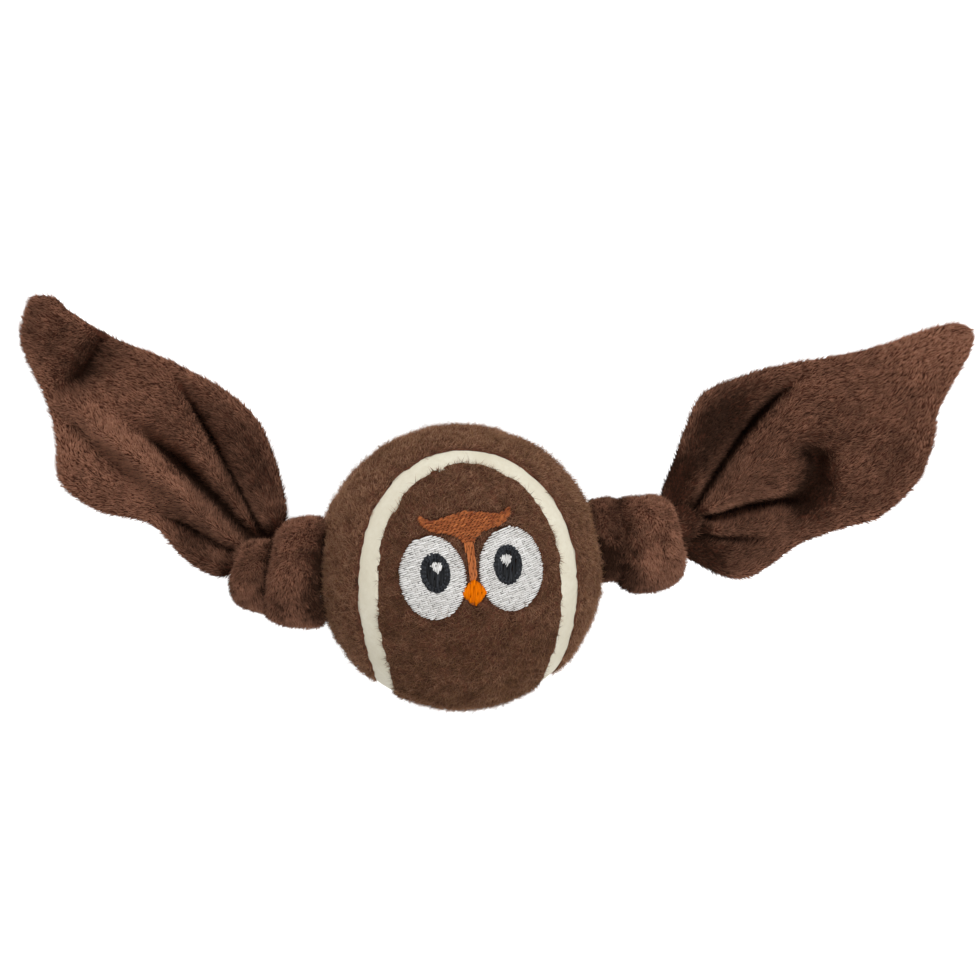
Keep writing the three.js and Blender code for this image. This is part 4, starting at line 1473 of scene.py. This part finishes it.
@dataclass
class Wing:
    """Sewn and turned plush wing: two layers that meet at a soft rim, gathered into the knot.

    Its own axes are s, along it from the knot, t, across it to the left of s, and height over the floor.
    """

    side: Side
    ball: Ball
    reach: float
    rise: float
    heading: float
    stations: tuple[tuple[float, float, float], ...]
    folds: tuple[Fold, ...]
    creases: tuple[Fold, ...]
    patches: tuple[Brushed, ...]
    lay_turns: tuple[tuple[float, float], ...]
    root_drop: float = 5.5
    slope_length: float = 16.0
    rest_height: float = 5.55
    rim: float = 3.4
    rim_half: float = 0.55
    full_half: float = 2.0
    pile_inset: float = 0.6
    inner_half: float = 0.3
    floor_gap: float = 0.4
    # Painted light along the rim, painted shade at the root and in the creases
    rim_highlight: float = 0.18
    rim_edge: float = 0.3
    root_shade: float = 0.65
    root_fade: tuple[float, float] = (-1.0, 5.5)
    crease_shade: float = 0.032
    pile_rise: tuple[float, float] = (-5.5, -4.0)
    least_density: float = 0.02
    least_thickness: float = 0.2
    bend_reach: float = 7.0
    grid: tuple[int, int] = (170, 100)
    tip_crowding: float = 0.45
    fold_rise: tuple[float, float] = (-0.12, 0.15)
    fold_fade: tuple[float, float] = (0.55, 1.1)
    puckers: tuple[Octave, ...] = (Octave(0.22, 6.0, 101), Octave(0.12, 2.2, 102))
    blotches: tuple[Octave, ...] = (Octave(0.08, 5.0, 103),)
    back_fibres: int = 25000
    sheet_width: float = 1.35
    sheet_length: float = 1.1

    def fold_height(self, folds: tuple[Fold, ...], s: Array, t: Array) -> Array:
        """Sum of the folds: a bell across each fold's line, rising at its start and fading at its end."""
        total = np.zeros_like(s)
        for fold in folds:
            ds, dt = fold.stop[0] - fold.start[0], fold.stop[1] - fold.start[1]
            length = math.hypot(ds, dt)
            along = ((s - fold.start[0]) * ds + (t - fold.start[1]) * dt) / length**2
            across = ((t - fold.start[1]) * ds - (s - fold.start[0]) * dt) / length
            fade = ease(along, *self.fold_rise) * (1 - ease(along, *self.fold_fade))
            width = np.where(across > 0, fold.left_width or fold.width, fold.width)
            total += fold.height * fade * np.exp(-((across / width) ** 2))
        return total

    def patch_shading(self, s: Array, t: Array) -> Array:
        """Sum of the patches of painted shade and painted light, each a bell over its oval."""
        total = np.zeros_like(s)
        for patch in self.patches:
            ds, dt = (s - patch.middle[0]) / patch.half[0], (t - patch.middle[1]) / patch.half[1]
            total += patch.tone * np.exp(-(ds**2) - dt**2)
        return total

    def plan(self, s: Array, t: Array, height: Array) -> Array:
        """Points of the part's frame from the wing's own axes."""
        turn = math.radians(self.heading)
        x = self.side.value * (self.ball.radius + self.reach) + s * math.cos(turn) - t * math.sin(turn)
        y = self.rise + s * math.sin(turn) + t * math.cos(turn)
        return np.stack((x, y, height), -1)

    def layer_skins(self, layer: Layer) -> tuple[Skin, Array]:
        """Outer skin of one layer, and its inner surface.

        The middle height falls from the knot to the floor as exp(-(s / slope length)^2), plus the folds. Each
        layer stands off it by a half thickness that rounds off at the rim as a quarter circle.

        Args:
            layer: Front or back layer.

        Returns:
            The outer skin and the inner surface on the same grid.
        """
        front = layer is Layer.FRONT
        rows, columns = self.grid
        even = np.linspace(0, 1, rows)
        share = (1 - self.tip_crowding) * even + self.tip_crowding * np.sin(math.pi / 2 * even)
        stations = spline(np.array(self.stations), share)
        s, right, left = (stations[:, k : k + 1] for k in range(3))
        right, left = right + self.pile_inset, left - self.pile_inset
        spread = (1 + np.sin(np.linspace(-math.pi / 2, math.pi / 2, columns))) / 2
        t = right + (left - right) * (spread if front else spread[::-1])
        s = s + 0 * t
        slope = np.exp(-((np.maximum(s, 0) / self.slope_length) ** 2))
        middle = self.rest_height + (self.ball.height - self.root_drop - self.rest_height) * slope
        pleats = self.fold_height(self.creases, s, t)
        middle = middle + self.fold_height(self.folds, s, t) + pleats
        edge = np.minimum(np.minimum(t - right, left - t), stations[-1, 0] - s)
        rounding = np.sqrt(1 - (1 - np.clip(edge / self.rim, 0, 1)) ** 2)
        half = self.rim_half + (self.full_half - self.rim_half) * rounding
        flat = np.stack((s, t, 0 * s), -1)
        half = half + rounding * wander(flat, self.puckers)
        lowest = self.floor_gap + (2 * self.rim_half if front else 0)
        height = np.maximum(middle + layer.value * half, lowest)
        inner = np.maximum(middle + layer.value * self.inner_half * rounding, self.floor_gap + self.rim_half)
        limit = height - layer.value * self.least_thickness
        inner = np.minimum(inner, limit) if front else np.maximum(inner, limit)
        points = self.plan(s, t, height)
        places, turns = np.array(self.lay_turns).T
        turn = np.radians(np.interp(share, places, turns))[:, None, None]
        ahead = unit(np.gradient(points, axis=0))
        aside = unit(np.gradient(points, axis=1)) * layer.value
        lay = ahead * np.cos(turn) + aside * np.sin(turn)
        density = ease(s, *self.pile_rise) + self.least_density
        # Painted shade at the root by the knot and in the creases, a painted highlight along the rim, and the
        # patches of painted shade and light, with random blotches
        creased = self.crease_shade * np.minimum(pleats, 0) ** 2
        rim = self.rim_highlight * (1 - ease(edge, self.rim_edge, self.rim))
        root = self.root_shade * (1 - ease(s, *self.root_fade))
        tone = self.patch_shading(s, t) + wander(flat, self.blotches) - creased + rim - root
        return Skin(points, lay, density, tone), self.plan(s, t, inner)

    def build(self) -> None:
        """Makes both layers with their pile, which slope down from the knot to the loose wing."""
        label = self.side.label
        counts = {Layer.FRONT: WING_PILE.count, Layer.BACK: self.back_fibres}
        for number, layer in enumerate(Layer):
            skin, inner = self.layer_skins(layer)
            cloth = add_slab(f"{label}_wing_{layer.label}_cloth", skin.points, inner, PLUSH_CLOTH)
            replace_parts(cloth, f"{label}_wing_{layer.label}_panel")
            if layer is Layer.FRONT:
                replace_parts(cloth, f"{label}_wing_gather")
            pile = replace(WING_PILE, count=counts[layer], seed=WING_PILE.seed + number)
            fibres = pile.grow(f"{label}_wing_{layer.label}_pile", skin, PLUSH_PILE)
            for piece in (cloth, fibres):
                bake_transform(piece)


# Studio


@dataclass(frozen=True)
class Lamp:
    """A square soft lamp that faces the ball.

    Attributes:
        name: Name of the lamp.
        place: Where it stands.
        size: Side of the square.
        power: Power in watts.
    """

    name: str
    place: tuple[float, float, float]
    size: float
    power: float


@dataclass
class Studio:
    """Pale floor, soft light from the owl's crown, and a camera that looks down at the face."""

    aim_height: float = BALL_HEIGHT
    distance: float = 850.0
    yaw: float = 5.4
    pitch: float = 8.0
    roll: float = 2.0
    frame_pixels: float = 980.0
    ball_pixels: tuple[float, float] = (459.5, 567.0)
    ball_radius_pixels: float = 142.0
    sensor: float = 36.0
    near_clip: float = 10.0
    floor_half: float = 4000.0
    floor_grey: float = 0.86
    floor_roughness: float = 0.9
    floor_glow: float = 0.8
    fill_light: float = 0.34
    lamp_up: tuple[float, float, float] = (0.0, 1.0, 0.1)
    lamps: tuple[Lamp, ...] = (
        Lamp("crown_lamp", (-150, 800, 700), 500, 5.8),
        Lamp("face_lamp", (250, -300, 900), 600, 5.2),
    )

    def camera_axes(self) -> Array:
        """Rows of the camera's right, up and backward directions: yaw about Y, pitch about X, then roll."""
        yaw, pitch, roll = (math.radians(a) for a in (self.yaw, self.pitch, self.roll))
        about_y = Matrix.Rotation(yaw, 3, "Y")
        about_x = Matrix.Rotation(pitch, 3, "X")
        about_z = Matrix.Rotation(roll, 3, "Z")
        return np.array(about_z @ about_x @ about_y)

    def build_camera(self) -> None:
        """Camera placed so that the ball's middle falls on its pixel, at the photograph's scale."""
        right, up, back = self.camera_axes()
        middle = self.frame_pixels / 2
        pixels_per_mm = self.ball_radius_pixels / BALL_RADIUS
        aside = (middle - self.ball_pixels[0]) / pixels_per_mm
        above = (self.ball_pixels[1] - middle) / pixels_per_mm
        place = np.array([0, 0, self.aim_height]) + self.distance * back + aside * right + above * up
        data = bpy.data.cameras.new("camera")
        data.sensor_width = self.sensor
        data.lens = self.sensor * pixels_per_mm * self.distance / self.frame_pixels
        data.clip_start = self.near_clip * MM
        camera = bpy.data.objects.new("camera", data)
        turn = Matrix(np.stack((right, up, back), -1).tolist()).to_4x4()
        camera.matrix_world = Matrix.Translation(place * MM) @ turn
        bpy.context.scene.collection.objects.link(camera)
        bpy.context.scene.camera = camera

    def add_lamp(self, lamp: Lamp) -> None:
        """Adds a lamp and turns it to the ball.

        Args:
            lamp: Place, size and power of the lamp.
        """
        data = bpy.data.lights.new(lamp.name, "AREA")
        data.energy = lamp.power
        data.size = lamp.size * MM
        light = bpy.data.objects.new(lamp.name, data)
        place = np.array(lamp.place)
        back = unit(place - np.array([0, 0, self.aim_height]))
        right = unit(np.cross(np.array(self.lamp_up), back))
        turn = Matrix(np.stack((right, np.cross(back, right), back), -1).tolist()).to_4x4()
        light.matrix_world = Matrix.Translation(place * MM) @ turn
        bpy.context.scene.collection.objects.link(light)

    @staticmethod
    def seen_directly(tree: bpy.types.NodeTree) -> bpy.types.NodeSocket:
        """Tells the rays that show a surface from those that only carry its light.

        Args:
            tree: Node tree that gets the nodes.

        Returns:
            The socket that is 1 for camera, glossy and transmission rays and 0 for the rest.
        """
        path = tree.nodes.new("ShaderNodeLightPath")
        socket = path.outputs["Is Camera Ray"]
        for label in ("Is Glossy Ray", "Is Transmission Ray"):
            either = tree.nodes.new("ShaderNodeMath")
            either.operation = "MAXIMUM"
            tree.links.new(socket, either.inputs[0])
            tree.links.new(path.outputs[label], either.inputs[1])
            socket = either.outputs[0]
        return socket

    def build_floor(self) -> None:
        """Wide pale floor, which looks white to the camera and keeps the toy's shadow."""
        half = self.floor_half * MM
        mesh = bpy.data.meshes.new("floor")
        corners = [(-half, -half, 0), (half, -half, 0), (half, half, 0), (-half, half, 0)]
        mesh.from_pydata(corners, [], [(0, 1, 2, 3)])
        floor = bpy.data.objects.new("floor", mesh)
        material = bpy.data.materials.new("pale_floor")
        material.use_nodes = True
        tree = material.node_tree
        shader = tree.nodes["Principled BSDF"]
        shader.inputs["Base Color"].default_value = (*[self.floor_grey] * 3, 1)
        shader.inputs["Roughness"].default_value = self.floor_roughness
        glow = tree.nodes.new("ShaderNodeMath")
        glow.operation = "MULTIPLY"
        glow.inputs[1].default_value = self.floor_glow
        shader.inputs["Emission Color"].default_value = (1, 1, 1, 1)
        tree.links.new(self.seen_directly(tree), glow.inputs[0])
        tree.links.new(glow.outputs[0], shader.inputs["Emission Strength"])
        mesh.materials.append(material)
        bpy.context.scene.collection.objects.link(floor)

    def build_world(self) -> None:
        """Even soft surroundings, white to the camera."""
        world = bpy.data.worlds.new("studio")
        world.use_nodes = True
        tree = world.node_tree
        background = tree.nodes["Background"]
        background.inputs["Color"].default_value = (1, 1, 1, 1)
        level = tree.nodes.new("ShaderNodeMapRange")
        level.inputs["To Min"].default_value = self.fill_light
        level.inputs["To Max"].default_value = 1.0
        tree.links.new(self.seen_directly(tree), level.inputs["Value"])
        tree.links.new(level.outputs[0], background.inputs["Strength"])
        bpy.context.scene.world = world

    def build(self) -> None:
        """Builds the camera, lamps, floor and surroundings."""
        self.build_camera()
        self.build_floor()
        self.build_world()
        for lamp in self.lamps:
            self.add_lamp(lamp)
        bpy.context.scene.view_settings.view_transform = "Standard"


# The toy


LEFT_WRAP = Turn(
    reach=6.2, width=12.4, outer_radius=13.2, depth=9.2, rise=0.5, lift=0.0, lean=10, start=-88, stop=268,
    curl_high=3.4, curl_low=5.8, flare_low=0.3, hollow=0.8, tone=0.08, shade=0.5,
)
LEFT_BIGHT = Turn(
    reach=15.6, width=9.6, outer_radius=8.6, depth=6.8, rise=0.2, lift=0.8, lean=6, start=-55, stop=235,
    curl_high=3.0, curl_low=4.6, tone=0.04, shade=0.6,
)
LEFT_STRAND = ((0, 0, 0), (5.5, 0, 0), (10.5, 1.4, -1.8), (13.2, 4.2, -5))
RIGHT_WRAP = Turn(
    reach=11.4, width=15.0, outer_radius=11.6, depth=8.0, rise=3.4, lift=0.0, lean=8, start=-88, stop=268,
    curl_high=0.8, curl_low=3.2, tone=0.06, shade=0.46,
)
RIGHT_BIGHT = Turn(
    reach=1.5, width=9.2, outer_radius=10.2, depth=6.2, rise=4.4, lift=0.0, lean=4, start=-88, stop=268,
    curl_high=0.0, curl_low=0.5, flare_low=0.35, hollow=2.2, tone=-0.24, shade=0.2,
)
RIGHT_STRAND = ((0, 0, 0), (2.5, 0, 0), (7, 1.8, 0), (13.5, 3.8, -0.8), (18.8, 6.2, -3), (21.4, 8.6, -5))
LEFT_STATIONS = (
    (-6.0, -3.0, 4.0), (-0.8, -5.0, 7.5), (2.2, -9.9, 12.4), (9.5, -14.8, 15.6), (19.5, -18.6, 16.8),
    (29.5, -18.0, 23.8), (40.5, -14.4, 25.8), (48.5, -11.1, 19.8), (57.5, -6.6, 14.9), (67.5, -3.9, 11.7),
    (72.6, -3.5, 8.2), (76.2, -0.6, 2.6),
)
LEFT_FOLDS = (
    Fold((1, -2), (38, -11), -2.6, 2.0),
    Fold((1, 0.5), (42, 4.4), -3.0, 2.4),
    Fold((1, 3), (58, 12.5), 2.4, 3.0),
    Fold((1, 3.5), (22, 14.5), -2.2, 2.4),
    Fold((1, -6), (32, -15), 1.4, 3.4),
    Fold((57, -8), (57, 12), -2.4, 3.4),
    Fold((66, 3), (74, 4), 1.6, 5.0),
)
LEFT_CREASES = (
    Fold((-1, -1.6), (44, -11.5), -5.5, 1.2, 1.0),
    Fold((-1, 0.2), (44, 4.8), -6.2, 2.8, 1.5),
    Fold((1, 2.6), (60, 13), 2.0, 1.6, 3.4),
    Fold((1, -0.8), (40, -3.4), 1.6, 1.8, 1.6),
    Fold((0, -5), (34, -14), 1.6, 3.0),
    Fold((0, 3.4), (22, 14.8), -3.4, 1.4, 2.0),
    Fold((30, 13.2), (57, 15.0), -2.8, 2.6),
    Fold((2, 9), (20, 17), 1.6, 2.0, 1.6),
    Fold((59.8, -8), (53.8, 9), -2.8, 2.6, 1.6),
    Fold((56.8, 13), (53.8, 0), -2.2, 1.6, 2.4),
)
# Patches of painted shade where the tone is negative, painted light where it is positive
LEFT_PATCHES = (
    Brushed((15, -12), (18, 6.5), -0.32),
    Brushed((55.4, 2.5), (5, 9), -0.42),
    Brushed((68, 3), (9, 8), -0.1),
    Brushed((37, 11), (22, 13), 0.4),
    Brushed((12, 11), (9, 3.5), -0.42),
    Brushed((44, 15), (10, 2.6), -0.16),
    Brushed((14.4, -2.0), (6, 2.2), -0.22),
    Brushed((23.5, 13), (6, 3.5), 0.16),
)
LEFT_LAY = ((0, 0), (0.5, 8), (0.75, 25), (1, 50))
RIGHT_STATIONS = (
    (-6.0, -8.0, 4.0), (-2.4, -12.6, 8.4), (2.4, -18.2, 13.6), (7.5, -21.3, 18.2), (14.5, -22.3, 22.4),
    (24.5, -21.7, 21.6), (36.0, -22.9, 20.0), (44.0, -23.6, 18.0), (55.0, -19.6, 15.8), (62.0, -12.4, 15.0),
    (66.0, -5.6, 14.9), (73.4, 0.8, 14.2), (77.6, 4.2, 13.3), (80.2, 7.2, 11.4),
)
RIGHT_FOLDS = (
    Fold((1, -0.6), (40, 16.3), -3.0, 2.2),
    Fold((1, -3), (30, -13.2), -2.8, 2.2),
    Fold((2, 0), (32, 0), 1.8, 5.0),
    Fold((27, -13), (36, -8), -2.4, 2.8),
    Fold((36, -8), (32, 0), -2.0, 2.8),
    Fold((2, -7), (24, -16), 1.6, 3.6),
    Fold((2, 8), (18, 18), 1.4, 3.0),
)
RIGHT_CREASES = (
    Fold((0, -1.2), (41, 16.5), -6.2, 1.0, 2.3),
    Fold((0, -2.6), (32, -13.8), -5.4, 1.0, 2.2),
    Fold((1, -1), (36, 1), 2.0, 3.0),
    Fold((-1, -5), (17, -17), -3.0, 1.1, 1.4),
    Fold((1, -4.2), (26, -14.5), 1.8, 1.8, 1.2),
    Fold((24, -13), (36, -9), -3.2, 3.2),
    Fold((33, -12), (36, -2), -3.4, 3.0),
    Fold((37, -6), (30, 2), -2.6, 2.6, 1.6),
    Fold((30, -12), (25, -18), -2.0, 2.4),
    Fold((1, 9), (22, 20.5), 2.0, 2.2),
)
# Patches of painted shade where the tone is negative, painted light where it is positive
RIGHT_PATCHES = (
    Brushed((6, 9.5), (7, 5), -0.5),
    Brushed((16, 15), (10, 5), -0.75),
    Brushed((34.3, -6), (3.9, 5.8), -0.72),
    Brushed((29.5, -12.5), (4.8, 4.2), -0.7),
    Brushed((72, 9), (14, 10), 0.44),
    Brushed((6, -12), (8, 8), -0.1),
)
RIGHT_LAY = ((0, 8), (0.4, 18), (0.8, 10), (1, -10))


def dress_inner_nodes() -> None:
    """Gives the pieces that stay as they are, all out of sight, their finishes."""
    inner = {"core_left_half": RUBBER, "core_right_half": RUBBER, "centre_strap": PLUSH_CLOTH}
    for side, edge in itertools.product(Side, ("upper", "lower")):
        inner[f"{side.label}_wing_{edge}_seam"] = PLUSH_CLOTH
    for name, finish in inner.items():
        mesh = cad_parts[name].data
        mesh.materials.clear()
        mesh.materials.append(finish.material())
        log.info("%s: dressed in %s", name, finish.name)


def main() -> None:
    """Builds the studio and every sub-assembly in order."""
    logging.basicConfig(level=logging.INFO, format="%(name)s %(message)s")
    Studio().build()
    ball, face = Ball(), Face()
    ball.build(face)
    face.build()
    left_knot = Knot(Side.LEFT, ball, LEFT_WRAP, LEFT_BIGHT, LEFT_STRAND)
    right_knot = Knot(Side.RIGHT, ball, RIGHT_WRAP, RIGHT_BIGHT, RIGHT_STRAND)
    left_wing = Wing(
        side=Side.LEFT, ball=ball, reach=12.2, rise=5.8, heading=130, stations=LEFT_STATIONS,
        folds=LEFT_FOLDS, creases=LEFT_CREASES, patches=LEFT_PATCHES, lay_turns=LEFT_LAY,
    )
    right_wing = Wing(
        side=Side.RIGHT, ball=ball, reach=21.3, rise=9.6, heading=20, stations=RIGHT_STATIONS,
        folds=RIGHT_FOLDS, creases=RIGHT_CREASES, patches=RIGHT_PATCHES, lay_turns=RIGHT_LAY,
    )
    for part in (left_knot, right_knot, left_wing, right_wing):
        part.build()
    dress_inner_nodes()


if __name__ == "__main__":
    main()
